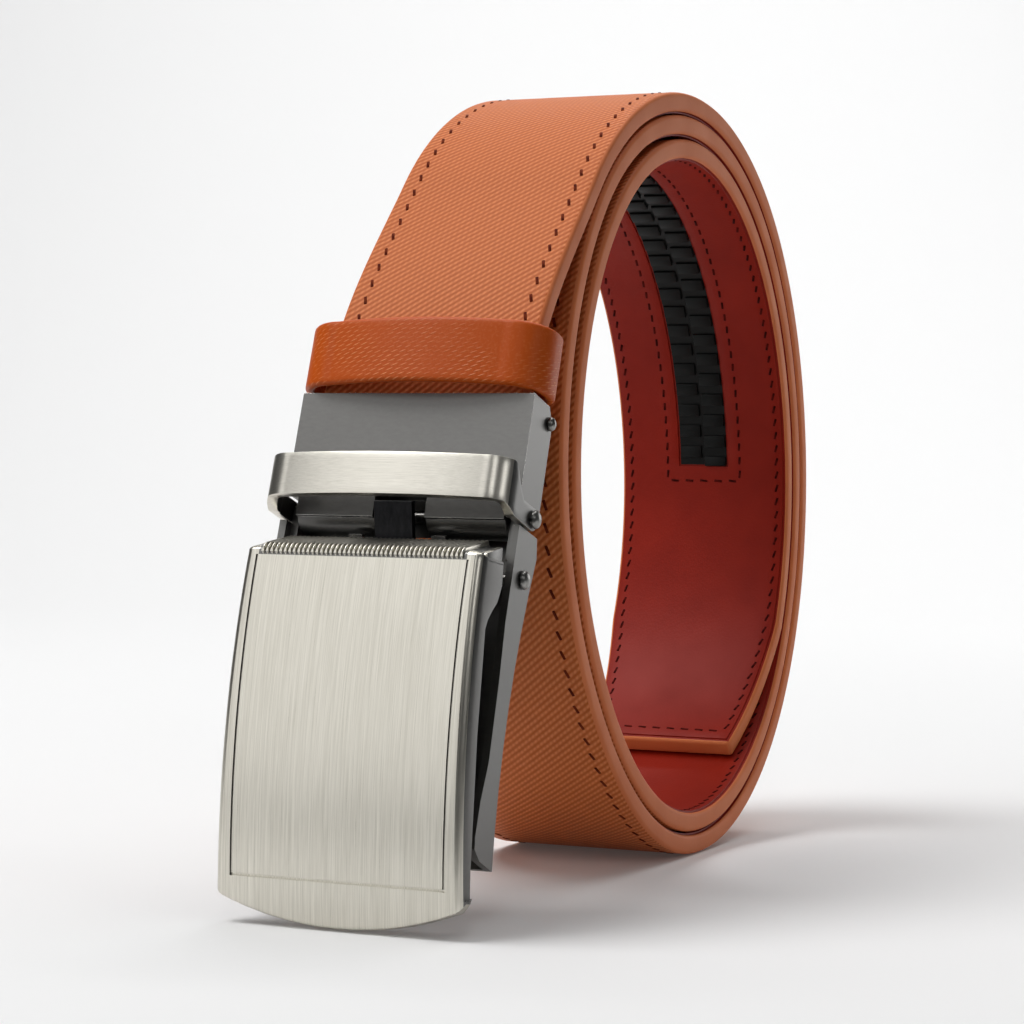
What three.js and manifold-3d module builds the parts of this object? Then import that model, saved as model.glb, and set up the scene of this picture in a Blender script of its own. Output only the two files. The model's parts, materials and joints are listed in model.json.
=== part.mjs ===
// A ratchet belt, rolled up for display: a leather strap wound in two and a half turns,
// standing on its rim, with a metal ratchet buckle clamped to its outer end.
// Millimetres, +Z up. X runs across the strap, and the buckle faces -Y.

import * as THREE from 'three';
import { mergeVertices } from 'three/addons/utils/BufferGeometryUtils.js';
import Module from 'manifold-3d';

const wasm = await Module();
wasm.setup();

// Strap
const strapWidth = 35;
const faceThickness = 2.4; // outer leather ply
const liningThickness = 1.0; // inner leather ply
const plyGap = 0.3; // glue line between the plies
const edgeRound = 0.6; // painted edge, measured across the strap
const clampedLength = 12.5; // strap held inside the clamp

// Coil: the outer turn follows a tilted oval, and the next turns lie inside it
const coilTallRadius = 69.8;
const coilDeepRadius = 65.6;
const coilTilt = -18.2; // degrees, how far the tall axis leans
const layerPitch = 3.98; // from one turn to the next where they touch
const turnsToTip = 2.42;
const stepsPerTurn = 54;

// How many layers deep the strap lies inside the oval, at each eighth of a turn from the top
const windingTable = [
  { turn: -0.125, layers: -0.55 },
  { turn: 0, layers: 0 },
  { turn: 0.125, layers: -0.12 },
  { turn: 0.25, layers: 0 },
  { turn: 0.375, layers: 0.05 },
  { turn: 0.5, layers: 0.6 },
  { turn: 0.625, layers: 1.2 },
  { turn: 0.75, layers: 0.65 },
  { turn: 0.875, layers: 0.45 },
  { turn: 1, layers: 1.0 },
  { turn: 1.125, layers: 1.0 },
  { turn: 1.25, layers: 1.12 },
  { turn: 1.375, layers: 1.12 },
  { turn: 1.5, layers: 1.62 },
  { turn: 1.625, layers: 2.22 },
  { turn: 1.75, layers: 2.0 },
  { turn: 1.875, layers: 1.88 },
  { turn: 2, layers: 2.02 },
  { turn: 2.125, layers: 2.2 },
  { turn: 2.25, layers: 2.4 },
  { turn: 2.375, layers: 2.28 },
  { turn: 2.5, layers: 2.2 },
];

// Strap tip: both corners are cut on a slant
const tipCutLength = 31;
const tipCutDepth = 3.2;

// Ratchet track, in a window of the lining
const trackWidth = 9.7;
const trackBase = 0.7;
const toothHeight = 0.8;
const toothPitch = 4.5;
const toothCount = 48;
const trackToTip = 65; // plain lining between the track's end and the tip
const trackClearance = 0.3;

// Leather keeper loop
const keeperHeight = 10.6;
const keeperWall = 1.5;
const keeperSideRoom = 2.0; // beside the strap
const keeperFrontRoom = 3.3; // for the strap's free end, at the corners
const keeperBackRoom = 1.1;
const keeperCrown = 1.6; // the front bulges by this much more in the middle
const keeperFrontRadius = 6.5;
const keeperBackRadius = 4;
const keeperTilt = 8; // degrees that the loose band has tipped forward
const keeperAboveClamp = 0.9;

// Shared clearances
const clearance = 0.3;
const pinClearance = 0.25;

// Buckle position: the hinge pin's place beside the coil, and the buckle's lean
const hingeForward = 82.7; // from the coil's centre
const hingeBelowCentre = 2.7;
const buckleLean = 20.3; // degrees from upright

// Clamp on the strap's end
const clampHeight = 16.7;
const clampDepth = 8;
const clampFrontWall = 1.4;
const clampSideWall = 2.1;
const clampFloor = 1.9;
const clampFrontToHinge = 3.9;
const clampBottom = 2.3; // side walls end above the hinge
const clampChamfer = 2.6;
const knuckleRadius = 3.4;
const knuckleNotch = 8.8;
const jawThickness = 1.6;
const jawHeight = 11.9;
const jawEyeRadius = 1.2;
const jawPinRadius = 0.6;
const jawPinBelowTop = 2.6;

// Pins and their round heads
const hingePinRadius = 1.0;
const pawlPinRadius = 0.9;
const leverPinRadius = 0.9;
const rivetHeadRadius = 1.45;
const rivetHeadHeight = 0.9;
const pinSides = 12;

// Metal loop that holds the free end against the clamp
const loopBarHeight = 6.7;
const loopBarBottom = -0.1; // beside the hinge pin's height
const loopBarThickness = 1.6;
const loopBarRoom = 5.6; // between the clamp's front and the bar
const loopCrown = 1.1;
const loopLegThickness = 1.3;
const loopLegHalfHeight = 1.75;
const loopCornerRadius = 4.2;

// Buckle frame
const frameWall = 1.2;
const frameBase = 1.2;
const frameLength = 51.2; // below the shoulders beside the hinge
const frameDepth = 7.7;
const frameBow = 2.4; // the back is hollowed to suit the waist
const frameBackToHinge = 4.3;
const frameTopGap = 2.0;
const frameEarRadius = 1.9;
const frameBaseSetback = 0.6; // the back plate starts below the side walls' tops

// Pawl
const pawlPinBelowHinge = 9.5;
const pawlWidth = 16.4;
const pawlThickness = 1.1;
const tongueWidth = 6.4;
const pawlEarWidth = 2.3;

// Face plate, the release lever, with its comb
const leverPinAboveFrameEnd = 4.7;
const leverPinForward = 1.9;
const plateWedge = 10; // degrees that the plate stands off the frame
const plateBeyondFrame = 0.3; // on each side
const plateTaper = 0.75; // narrower at the top, on each side
const plateSheet = 1.8;
const plateWall = 1.3;
const plateFrontToPin = 5.13;
const plateBow = 2.0; // the front is bowed, highest at the panel's middle
const plateTopBelowHinge = 6.6;
const plateSideBelowPin = 11.5;
const lipDrop = 4.2;
const sideBevelWidth = 1.3;
const sideBevelDepth = 1.9;
const combDepth = 8.5; // ledge behind the plate's top edge
const combRise = 2.6;
const combThickness = 1.3;
const combSideMargin = 3.4;
const lugDepth = 7;
const lugRise = 1.4;
const ribPitch = 0.77;
const ribCut = 0.34; // width of the groove between two ribs
const ribDepth = 0.5;
const ribFrontLength = 2.9;
const panelSideMargin = 3.35;
const panelBelowPin = 8.6;
const panelGroove = 0.4;
const panelGrooveDepth = 0.3;
const leverEarThickness = 1.2;
const leverEarRadius = 1.75;
const leverEarFoot = 6.6;

// The back edge of the plate's side walls, at shares of their height: deep lugs, then a narrow wall
const sideWallTable = [
  { share: 0.01, behindPin: 2.4 },
  { share: 0.09, behindPin: 2.3 },
  { share: 0.137, behindPin: 0.8 },
  { share: 0.174, behindPin: -1.6 },
  { share: 0.206, behindPin: -2.8 },
  { share: 0.506, behindPin: -3.4 },
  { share: 0.88, behindPin: -2.9 },
  { share: 1, behindPin: -2.2 },
  { share: 1.09, behindPin: -1.7 },
];

// Frame side walls: how far the front edge stands off its middle line, at shares of its length
const frameFrontTable = [
  { share: 0.012, behind: 2.6 },
  { share: 0.037, behind: 0.5 },
  { share: 0.07, behind: 0 },
  { share: 0.176, behind: 0.1 },
  { share: 0.293, behind: 1.0 },
  { share: 0.527, behind: 0.5 },
  { share: 0.703, behind: -0.3 },
  { share: 0.97, behind: -0.3 },
];

// Pawl: the tongue bends twice on its way up to the strap
const tongueFoot = { forward: 0.6, up: 0.9 };
const tongueBend = { forward: 3.8, up: 4.9 };
const tongueTip = { forward: 6.2, up: 10.2 };
const pawlEarTip = { forward: 3.2, up: 5.7 };
const pawlHeel = { forward: 0.9, down: 7 };

// Values worked out from the sizes above
const radians = THREE.MathUtils.degToRad;
const strapHalf = strapWidth / 2;
const strapThickness = faceThickness + plyGap + liningThickness;
const slotHalf = strapHalf + clearance;
const clampHalf = slotHalf + clampSideWall;
const earInner = slotHalf + 0.2;
const frameInner = earInner + frameWall;
const frameOuter = frameInner + frameWall;
const legInner = frameInner + clearance;
const legOuter = legInner + loopLegThickness;
const clampTop = clampBottom + clampHeight;
const strapOuterInClamp = -clampFrontToHinge + clampFrontWall + clearance;
const jawFront = strapOuterInClamp + strapThickness + clearance;
const barBack = -clampFrontToHinge - loopBarRoom;
const barFront = barBack - loopBarThickness;
const frameTop = -frameTopGap;
const frameBottom = frameTop - frameLength;
const leverPinBelowHinge = -frameBottom - leverPinAboveFrameEnd;
const plateHalfWidth = frameOuter + plateBeyondFrame;
const plateAbovePin = leverPinBelowHinge - plateTopBelowHinge;
const panelTop = plateAbovePin - ribFrontLength;
const combHalfWidth = plateHalfWidth - combSideMargin;
const panelHalfWidth = plateHalfWidth - panelSideMargin;

// Solids and their meshes

function toSolid(geometry) {
  const bare = geometry.clone();
  bare.deleteAttribute('normal');
  bare.deleteAttribute('uv');
  const merged = mergeVertices(bare, 1e-4);
  const corners = Array.from(merged.index.array);
  const triangles = [];
  for (let i = 0; i < corners.length; i += 3) {
    const triangle = corners.slice(i, i + 3);
    if (new Set(triangle).size === 3) triangles.push(...triangle);
  }
  const mesh = new wasm.Mesh({
    numProp: 3,
    vertProperties: new Float32Array(merged.attributes.position.array),
    triVerts: new Uint32Array(triangles),
  });
  return new wasm.Manifold(mesh);
}

function toGeometry(solid) {
  const mesh = solid.getMesh();
  const geometry = new THREE.BufferGeometry();
  geometry.setAttribute('position', new THREE.BufferAttribute(new Float32Array(mesh.vertProperties), 3));
  geometry.setIndex(new THREE.BufferAttribute(new Uint32Array(mesh.triVerts), 1));
  geometry.computeVertexNormals();
  return geometry;
}

function join(...solids) {
  return solids.reduce((all, next) => all.add(next));
}

function cut(solid, ...tools) {
  return tools.reduce((left, tool) => left.subtract(tool), solid);
}

// A solid whose side outline is given as [y, z] points, from x = low to x = high
const sideOn = new THREE.Matrix4().makeBasis(
  new THREE.Vector3(0, 1, 0), new THREE.Vector3(0, 0, 1), new THREE.Vector3(1, 0, 0));

function slab(outline, low, high) {
  const shape = new THREE.Shape(outline.map(([y, z]) => new THREE.Vector2(y, z)));
  const geometry = new THREE.ExtrudeGeometry(shape, { depth: high - low, bevelEnabled: false });
  return toSolid(geometry.applyMatrix4(sideOn).translate(low, 0, 0));
}

// A solid whose plan is given as [x, y] points, from z = low to z = high
function plan(outline, low, high) {
  const shape = new THREE.Shape(outline.map(([x, y]) => new THREE.Vector2(x, y)));
  const geometry = new THREE.ExtrudeGeometry(shape, { depth: high - low, bevelEnabled: false });
  return toSolid(geometry.translate(0, 0, low));
}

function block(x0, x1, y0, y1, z0, z1) {
  const geometry = new THREE.BoxGeometry(x1 - x0, y1 - y0, z1 - z0);
  return toSolid(geometry.translate((x0 + x1) / 2, (y0 + y1) / 2, (z0 + z1) / 2));
}

// A round bar along X, centred on (y, z)
function rod(radius, low, high, y = 0, z = 0, sides = pinSides) {
  const geometry = new THREE.CylinderGeometry(radius, radius, high - low, sides);
  geometry.rotateZ(Math.PI / 2).translate((low + high) / 2, y, z);
  return toSolid(geometry);
}

// A pin along X with a domed head on each end
function rivet(radius, headFrom, headRadius, headHeight) {
  const rim = headHeight * 0.35;
  const half = [
    [0, headFrom + headHeight],
    [headRadius * 0.6, headFrom + headHeight * 0.85],
    [headRadius, headFrom + rim],
    [headRadius, headFrom],
    [radius, headFrom],
  ];
  const mirrored = half.map(([r, x]) => [r, -x]);
  const profile = [...mirrored, ...half.reverse()].map(([r, x]) => new THREE.Vector2(r, x));
  const geometry = new THREE.LatheGeometry(profile, pinSides);
  return toSolid(geometry.rotateZ(-Math.PI / 2));
}

// Points of an arc from one angle to another, in degrees
function arc(cy, cz, radius, from, to, steps) {
  return Array.from({ length: steps + 1 }, (unused, i) => {
    const a = radians(from + (to - from) * i / steps);
    return [cy + radius * Math.cos(a), cz + radius * Math.sin(a)];
  });
}

// A closed body through rings of points, each ring with the same count
function loft(rings) {
  const count = rings[0].length;
  const positions = rings.flat().flatMap(p => [p.x, p.y, p.z]);
  const index = [];
  for (let r = 0; r + 1 < rings.length; r++) {
    for (let i = 0; i < count; i++) {
      const a = r * count + i;
      const b = r * count + (i + 1) % count;
      index.push(a, b, a + count, b, b + count, a + count);
    }
  }
  const last = (rings.length - 1) * count;
  for (let i = 1; i + 1 < count; i++) {
    index.push(0, i + 1, i);
    index.push(last, last + i, last + i + 1);
  }
  const geometry = new THREE.BufferGeometry();
  geometry.setAttribute('position', new THREE.Float32BufferAttribute(positions, 3));
  geometry.setIndex(index);
  return toSolid(geometry);
}

// The strap's route, as the line of its outer face in the YZ plane

const winding = new THREE.SplineCurve(windingTable.map(row => new THREE.Vector2(row.turn, row.layers)));
const firstTurn = windingTable[0].turn;
const lastTurn = windingTable.at(-1).turn;

function coilPoint(turn) {
  const layers = winding.getPoint((turn - firstTurn) / (lastTurn - firstTurn)).y;
  const angle = turn * 2 * Math.PI;
  const along = Math.cos(angle - radians(coilTilt)) * coilDeepRadius;
  const across = Math.sin(angle - radians(coilTilt)) * coilTallRadius;
  const oval = coilTallRadius * coilDeepRadius / Math.hypot(along, across);
  const radius = oval - layers * layerPitch;
  return new THREE.Vector2(radius * Math.sin(angle), radius * Math.cos(angle));
}

// A point given in the buckle's own frame, as a point of the coil's frame
function fromBuckle(y, z) {
  const lean = radians(buckleLean);
  return new THREE.Vector2(
    -hingeForward + y * Math.cos(lean) + z * Math.sin(lean),
    -hingeBelowCentre - y * Math.sin(lean) + z * Math.cos(lean));
}

function makeRoute() {
  const inClamp = fromBuckle(strapOuterInClamp, clampTop - clampedLength);
  const mouth = fromBuckle(strapOuterInClamp, clampTop);
  const start = coilPoint(firstTurn);
  const ahead = coilPoint(firstTurn + 0.01);
  const reach = mouth.distanceTo(start) / 3;
  const mouthHandle = mouth.clone().add(mouth.clone().sub(inClamp).setLength(reach));
  const startHandle = start.clone().sub(ahead.clone().sub(start).setLength(reach));
  const leadIn = new THREE.CubicBezierCurve(mouth, mouthHandle, startHandle, start);
  const points = [inClamp, ...leadIn.getPoints(10)];
  const steps = Math.round((turnsToTip - firstTurn) * stepsPerTurn);
  for (let i = 1; i <= steps; i++) {
    points.push(coilPoint(firstTurn + (turnsToTip - firstTurn) * i / steps));
  }
  let length = 0;
  return points.map((p, i) => {
    const before = points[Math.max(i - 1, 0)];
    const after = points[Math.min(i + 1, points.length - 1)];
    const tangent = after.clone().sub(before).normalize();
    length += p.distanceTo(before);
    return { p, inward: new THREE.Vector2(tangent.y, -tangent.x), length };
  });
}

const route = makeRoute();
const routeLength = route.at(-1).length;

// The station on the route at a given length from the clamped end
function station(length) {
  const after = route.findIndex(s => s.length >= length);
  const b = route[after < 0 ? route.length - 1 : Math.max(after, 1)];
  const a = route[route.indexOf(b) - 1];
  const t = (length - a.length) / (b.length - a.length);
  return { p: a.p.clone().lerp(b.p, t), inward: a.inward.clone().lerp(b.inward, t).normalize(), length };
}

function stationsBetween(from, to) {
  return [station(from), ...route.filter(s => s.length > from + 0.05 && s.length < to - 0.05), station(to)];
}

function atDepth(s, depth) {
  return [s.p.x + s.inward.x * depth, s.p.y + s.inward.y * depth];
}

// One ply of the strap, with its two long edges rounded over
function ply(from, to, round) {
  const outline = [...route.map(s => atDepth(s, from)), ...route.map(s => atDepth(s, to)).reverse()];
  const shape = new THREE.Shape(outline.map(([y, z]) => new THREE.Vector2(y, z)));
  const geometry = new THREE.ExtrudeGeometry(shape, {
    depth: strapWidth - 2 * edgeRound, bevelThickness: edgeRound, bevelSize: round,
    bevelOffset: -round, bevelSegments: 1,
  });
  return toSolid(geometry.applyMatrix4(sideOn).translate(-strapHalf + edgeRound, 0, 0));
}

// What is cut from one corner of the tip: side is 1 or -1
function tipCutter(side) {
  const margin = 0.12;
  const past = strapHalf + 1;
  const stations = stationsBetween(routeLength - tipCutLength, routeLength);
  const rings = stations.map(s => {
    const share = (s.length - routeLength + tipCutLength) / tipCutLength;
    const edge = strapHalf + 0.01 - share * tipCutDepth;
    const corners = [[edge, -margin], [past, -margin], [past, strapThickness + margin],
      [edge, strapThickness + margin]];
    const ring = corners.map(([x, depth]) => {
      const [y, z] = atDepth(s, depth);
      return new THREE.Vector3(side * x, y, z);
    });
    return side > 0 ? ring : ring.reverse();
  });
  const end = rings.at(-1);
  const onward = stations.at(-1).p.clone().sub(stations.at(-2).p).setLength(1);
  rings.push(end.map(v => v.clone().add(new THREE.Vector3(0, onward.x, onward.y))));
  return loft(rings);
}

const tipCutters = [1, -1].map(tipCutter);

function makeStrapFace() {
  return cut(ply(0, faceThickness, 0.5), ...tipCutters);
}

const trackEnd = routeLength - trackToTip;
const trackStart = trackEnd - toothCount * toothPitch;

function makeStrapLining() {
  const margin = 0.12;
  const from = faceThickness + plyGap;
  const stations = stationsBetween(trackStart - trackClearance, trackEnd + trackClearance);
  const band = [
    ...stations.map(s => atDepth(s, from - margin)),
    ...stations.map(s => atDepth(s, strapThickness + margin)).reverse(),
  ];
  const half = trackWidth / 2 + trackClearance;
  return cut(ply(from, strapThickness, 0.25), ...tipCutters, slab(band, -half, half));
}

// One column of saw teeth: each tooth rises slowly and drops at once
function trackColumn(low, high, shift) {
  const bottom = faceThickness + plyGap;
  const teeth = [];
  for (let i = 0; i < toothCount; i++) {
    const at = trackStart + (i + shift) * toothPitch;
    teeth.push([at + 0.1, 0], [at + toothPitch * 0.55, toothHeight], [at + toothPitch - 0.1, toothHeight]);
  }
  const inside = teeth.filter(([length]) => length < trackEnd);
  const top = [[trackStart, 0], ...inside, [trackEnd, 0]];
  const outline = [
    ...stationsBetween(trackStart, trackEnd).map(s => atDepth(s, bottom)),
    ...top.map(([length, rise]) => atDepth(station(length), bottom + trackBase + rise)).reverse(),
  ];
  return slab(outline, low, high);
}

function makeRatchetTrack() {
  const half = trackWidth / 2;
  return join(trackColumn(-half, 0.2, 0), trackColumn(-0.2, half, 0.5));
}

// Leather keeper: a rounded band round the strap, made about the strap's middle
// The keeper seen along the strap, grown by a distance: round corners and a bulged front
function keeperOutline(grown) {
  const half = strapHalf + keeperSideRoom + grown;
  const back = strapThickness / 2 + keeperBackRoom + grown;
  const front = -strapThickness / 2 - keeperFrontRoom - grown;
  const backRadius = keeperBackRadius - keeperWall + grown;
  const frontRadius = keeperFrontRadius - keeperWall + grown;
  const reach = half - frontRadius;
  const bulge = Array.from({ length: 5 }, (unused, i) => {
    const x = reach * (i - 2) / 3;
    return [x, front - keeperCrown * (1 - (x / reach) ** 2)];
  });
  return [
    ...arc(half - backRadius, back - backRadius, backRadius, 0, 90, 4),
    ...arc(-half + backRadius, back - backRadius, backRadius, 90, 180, 4),
    ...arc(-reach, front + frontRadius, frontRadius, 180, 270, 5),
    ...bulge,
    ...arc(reach, front + frontRadius, frontRadius, 270, 360, 5),
  ];
}

function makeLeatherKeeper() {
  return cut(plan(keeperOutline(keeperWall), -keeperHeight / 2, keeperHeight / 2),
    plan(keeperOutline(0), -keeperHeight, keeperHeight));
}

// Clamp, about the hinge pin
function makeClampBody() {
  const front = -clampFrontToHinge;
  const back = front + clampDepth;
  const side = [
    [front, clampBottom],
    [back, clampBottom],
    [back, clampTop - clampChamfer],
    [back - clampChamfer * 0.7, clampTop],
    [front, clampTop],
  ];
  const box = slab(side, -clampHalf, clampHalf);
  const room = block(-slotHalf, slotHalf, front + clampFrontWall, back + 1, clampBottom + clampFloor,
    clampTop + 1);
  const knuckleHalf = slotHalf - 0.1;
  const apron = slab([[front, -knuckleRadius * 0.35], [0, -knuckleRadius * 0.35], [0, clampBottom + 1],
    [front, clampBottom + 1]], -knuckleHalf, knuckleHalf);
  const barrel = rod(knuckleRadius, -knuckleHalf, knuckleHalf, 0, 0, 24);
  const notchBack = hingePinRadius + pinClearance + 0.65;
  const notch = block(-knuckleNotch / 2, knuckleNotch / 2, front - 1, notchBack, -knuckleRadius - 1,
    clampBottom + 1);
  const bore = rod(hingePinRadius + pinClearance, -clampHalf, clampHalf);
  const jawBore = rod(jawPinRadius + pinClearance, -clampHalf - 1, clampHalf + 1, jawPinY, jawPinZ);
  return cut(join(box, apron, barrel), room, notch, bore, jawBore);
}

const jawPinY = jawFront + jawEyeRadius;
const jawPinZ = clampTop - jawPinBelowTop;

// The flap behind the strap that bites it against the clamp's front wall
function makeClampJaw() {
  const half = slotHalf - clearance;
  const flap = block(-half, half, jawFront, jawFront + jawThickness, jawPinZ - jawHeight, jawPinZ);
  const eye = rod(jawEyeRadius, -half, half, jawPinY, jawPinZ);
  const bore = rod(jawPinRadius + pinClearance, -half - 1, half + 1, jawPinY, jawPinZ);
  return cut(join(flap, eye), bore);
}

function makeJawPin() {
  return rivet(jawPinRadius, clampHalf + 0.15, rivetHeadRadius * 0.75, rivetHeadHeight);
}

function makeHingePin() {
  return rivet(hingePinRadius, legOuter + clearance, rivetHeadRadius, rivetHeadHeight);
}

function makePawlPin() {
  return rivet(pawlPinRadius, frameOuter + clearance * 0.7, rivetHeadRadius, rivetHeadHeight);
}

// Metal loop: a crowned bar on two legs that hang on the hinge pin
function makeMetalLoop() {
  const radius = loopCornerRadius;
  const reach = legOuter - radius;
  const crown = x => loopCrown * (1 - (x / reach) ** 2);
  const front = Array.from({ length: 9 }, (unused, i) => {
    const x = reach * (i / 4 - 1);
    return [x, barFront - crown(x)];
  });
  const innerRadius = radius - loopBarThickness;
  const innerReach = legInner - innerRadius;
  const backEnd = loopLegHalfHeight;
  const outline = [
    [-legOuter, backEnd],
    ...arc(-reach, barFront + radius, radius, 180, 270, 4).slice(0, -1),
    ...front,
    ...arc(reach, barFront + radius, radius, 270, 360, 4).slice(1),
    [legOuter, backEnd],
    [legInner, backEnd],
    ...arc(innerReach, barBack + innerRadius, innerRadius, 0, -90, 3),
    ...arc(-innerReach, barBack + innerRadius, innerRadius, -90, -180, 3),
    [-legInner, backEnd],
  ];
  const barTop = loopBarBottom + loopBarHeight;
  const body = plan(outline, -loopLegHalfHeight, barTop);
  const legFront = -clampFrontToHinge - clearance;
  const side = [
    [barFront - loopCrown - 1, loopBarBottom],
    [barBack, loopBarBottom],
    [barBack + 2.4, -loopLegHalfHeight + 0.15],
    ...arc(0, 0, loopLegHalfHeight, -90, 90, 8),
    [legFront, loopLegHalfHeight],
    [legFront - 1.6, loopLegHalfHeight + 1.4],
    [barBack + 1.2, barTop],
    [barFront - loopCrown - 1, barTop],
  ];
  const bore = rod(hingePinRadius + pinClearance, -legOuter - 1, legOuter + 1);
  return cut(body.intersect(slab(side, -legOuter - 1, legOuter + 1)), bore);
}

// Frame: a back plate between two side walls, hung on the hinge pin by two ears

function frameBack(z) {
  const share = (z - frameBottom) / (frameTop - 3 - frameBottom);
  const clamped = THREE.MathUtils.clamp(share, 0, 1);
  return frameBackToHinge - frameBow * 4 * clamped * (1 - clamped);
}

function frameBackLine(from, to, offset) {
  return Array.from({ length: 9 }, (unused, i) => {
    const z = from + (to - from) * i / 8;
    return [frameBack(z) - offset, z];
  });
}

function makeBuckleFrame() {
  const front = frameBackToHinge - frameDepth;
  const wallOutline = [
    [front - 0.3, frameTop],
    [frameBackToHinge - 0.9, frameTop],
    ...frameBackLine(frameTop - 3, frameBottom, 0),
    ...frameFrontTable.map(row => [front + row.behind, frameBottom + row.share * frameLength]),
  ];
  const baseTop = frameTop - frameBaseSetback;
  const baseOutline = [
    ...frameBackLine(baseTop, frameBottom, 0),
    ...frameBackLine(frameBottom, baseTop, frameBase),
  ];
  const earOutline = [
    ...arc(0, 0, frameEarRadius, 0, 180, 8),
    [-frameEarRadius, frameTop - 5],
    [frameEarRadius, frameTop - 5],
  ];
  const pawlPinZ = -pawlPinBelowHinge;
  const parts = [slab(baseOutline, -frameInner - 0.1, frameInner + 0.1)];
  for (const side of [1, -1]) {
    const wall = [frameInner, frameOuter].map(x => side * x).sort((a, b) => a - b);
    const ear = [earInner, frameInner + 0.1].map(x => side * x).sort((a, b) => a - b);
    parts.push(slab(wallOutline, ...wall), slab(earOutline, ...ear));
  }
  const pinPocket = rod(leverPinRadius + pinClearance, -leverPinHalf - clearance, leverPinHalf + clearance,
    -leverPinForward, -leverPinBelowHinge);
  return cut(join(...parts),
    rod(hingePinRadius + pinClearance, -frameOuter, frameOuter),
    rod(pawlPinRadius + pinClearance, -frameOuter - 1, frameOuter + 1, pawlPinY, pawlPinZ),
    pinPocket);
}

const pawlPinY = 0.25;
const leverPinHalf = frameOuter - frameWall * 0.6;

// Pawl, about its own pin: a tongue that leans out towards the strap, and two ears
function makePawl() {
  const half = pawlWidth / 2;
  const barrel = pawlPinRadius + pinClearance + pawlThickness * 0.7;
  const leaf = (foot, tip, thickness, low, high) => {
    const along = new THREE.Vector2(tip[0] - foot[0], tip[1] - foot[1]).setLength(thickness / 2);
    return slab([[foot[0] + along.y, foot[1] - along.x], [tip[0] + along.y, tip[1] - along.x],
      [tip[0] - along.y, tip[1] + along.x], [foot[0] - along.y, foot[1] + along.x]], low, high);
  };
  const foot = [-tongueFoot.forward, tongueFoot.up];
  const bend = [-tongueBend.forward, tongueBend.up];
  const tip = [-tongueTip.forward, tongueTip.up];
  const earTip = [-pawlEarTip.forward, pawlEarTip.up];
  const overlap = [bend[0] + pawlThickness * 0.2, bend[1] - pawlThickness * 0.5];
  const tongue = join(
    leaf(foot, bend, pawlThickness, -tongueWidth / 2, tongueWidth / 2),
    leaf(overlap, tip, pawlThickness, -tongueWidth / 2, tongueWidth / 2));
  const ears = [1, -1].map(side => {
    const x = [half - pawlEarWidth, half].map(v => side * v).sort((a, b) => a - b);
    return leaf(foot, earTip, pawlThickness * 0.8, ...x);
  });
  const heel = leaf([0, 0], [-pawlHeel.forward, -pawlHeel.down], pawlThickness, -half, half);
  const bore = rod(pawlPinRadius + pinClearance, -half - 1, half + 1);
  return cut(join(rod(barrel, -half, half), tongue, ...ears, heel), bore);
}

// Face plate, about the lever pin. Its front is bowed, and stands at this y for a height z.
function plateFront(z) {
  const share = (panelTop - z) / (panelTop + panelBelowPin);
  return -plateFrontToPin - plateBow * 4 * share * (1 - share);
}

function plateHalfAt(z) {
  const share = (z + plateSideBelowPin) / (plateAbovePin + plateSideBelowPin);
  return plateHalfWidth - plateTaper * THREE.MathUtils.clamp(share, 0, 1);
}

// A line of points that keeps a distance behind the plate's front
function frontLine(from, to, behind) {
  const steps = 8;
  return Array.from({ length: steps + 1 }, (unused, i) => {
    const z = from + (to - from) * i / steps;
    return [plateFront(z) + behind, z];
  });
}

// The plate seen from the front: tapered sides, a lip with an arched edge and cut corners
function plateOutline() {
  const radius = (plateHalfWidth ** 2 + lipDrop ** 2) / (2 * lipDrop);
  const half = Math.asin(plateHalfWidth / radius);
  const centre = -plateSideBelowPin - lipDrop + radius;
  const lip = Array.from({ length: 12 }, (unused, i) => {
    const a = half * (1 - 2 * i / 11);
    return [radius * Math.sin(a), centre - radius * Math.cos(a)];
  });
  const top = plateAbovePin;
  const corner = sideBevelWidth;
  return [
    ...lip,
    [-plateHalfAt(top), top - corner],
    [-plateHalfAt(top) + corner, top],
    [plateHalfAt(top) - corner, top],
    [plateHalfAt(top), top - corner],
  ];
}

// What is cut from one long front edge to leave its bevel
function sideBevel(side) {
  const low = -plateSideBelowPin - lipDrop - 1;
  const rings = frontLine(low, plateAbovePin + 1, 0).map(([y, z]) => {
    const x = plateHalfAt(z);
    const ring = [
      [x + 1, y - 1],
      [x - sideBevelWidth, y - 1],
      [x - sideBevelWidth, y],
      [x - sideBevelWidth * 0.35, y + sideBevelDepth * 0.3],
      [x + 0.02, y + sideBevelDepth],
      [x + 1, y + sideBevelDepth],
    ].map(([across, deep]) => new THREE.Vector3(side * across, deep, z));
    return side > 0 ? ring.reverse() : ring;
  });
  return loft(rings);
}

function makePlateShell() {
  const bottom = -plateSideBelowPin - lipDrop - 1;
  const top = plateAbovePin;
  const sideHeight = top + plateSideBelowPin;
  const walls = sideWallTable.map(row => [row.behindPin, top - row.share * sideHeight]);
  const profile = [...frontLine(bottom, top, 0), [plateFront(top) + 1, top], ...walls,
    [plateFront(bottom) + plateSheet, bottom]];
  const seen = new THREE.Shape(plateOutline().map(([x, z]) => new THREE.Vector2(x, z)));
  const prism = new THREE.ExtrudeGeometry(seen, { depth: 60, bevelEnabled: false });
  prism.rotateX(Math.PI / 2).translate(0, 30, 0);
  const room = slab([...frontLine(bottom - 1, top - combThickness, plateSheet),
    [20, top - combThickness], [20, bottom - 1]], -1, 1);
  const cavity = room.warp(v => { v[0] *= plateHalfAt(v[2]) - plateWall; });
  return cut(slab(profile, -plateHalfWidth, plateHalfWidth).intersect(toSolid(prism)),
    sideBevel(1), sideBevel(-1), cavity);
}

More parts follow.
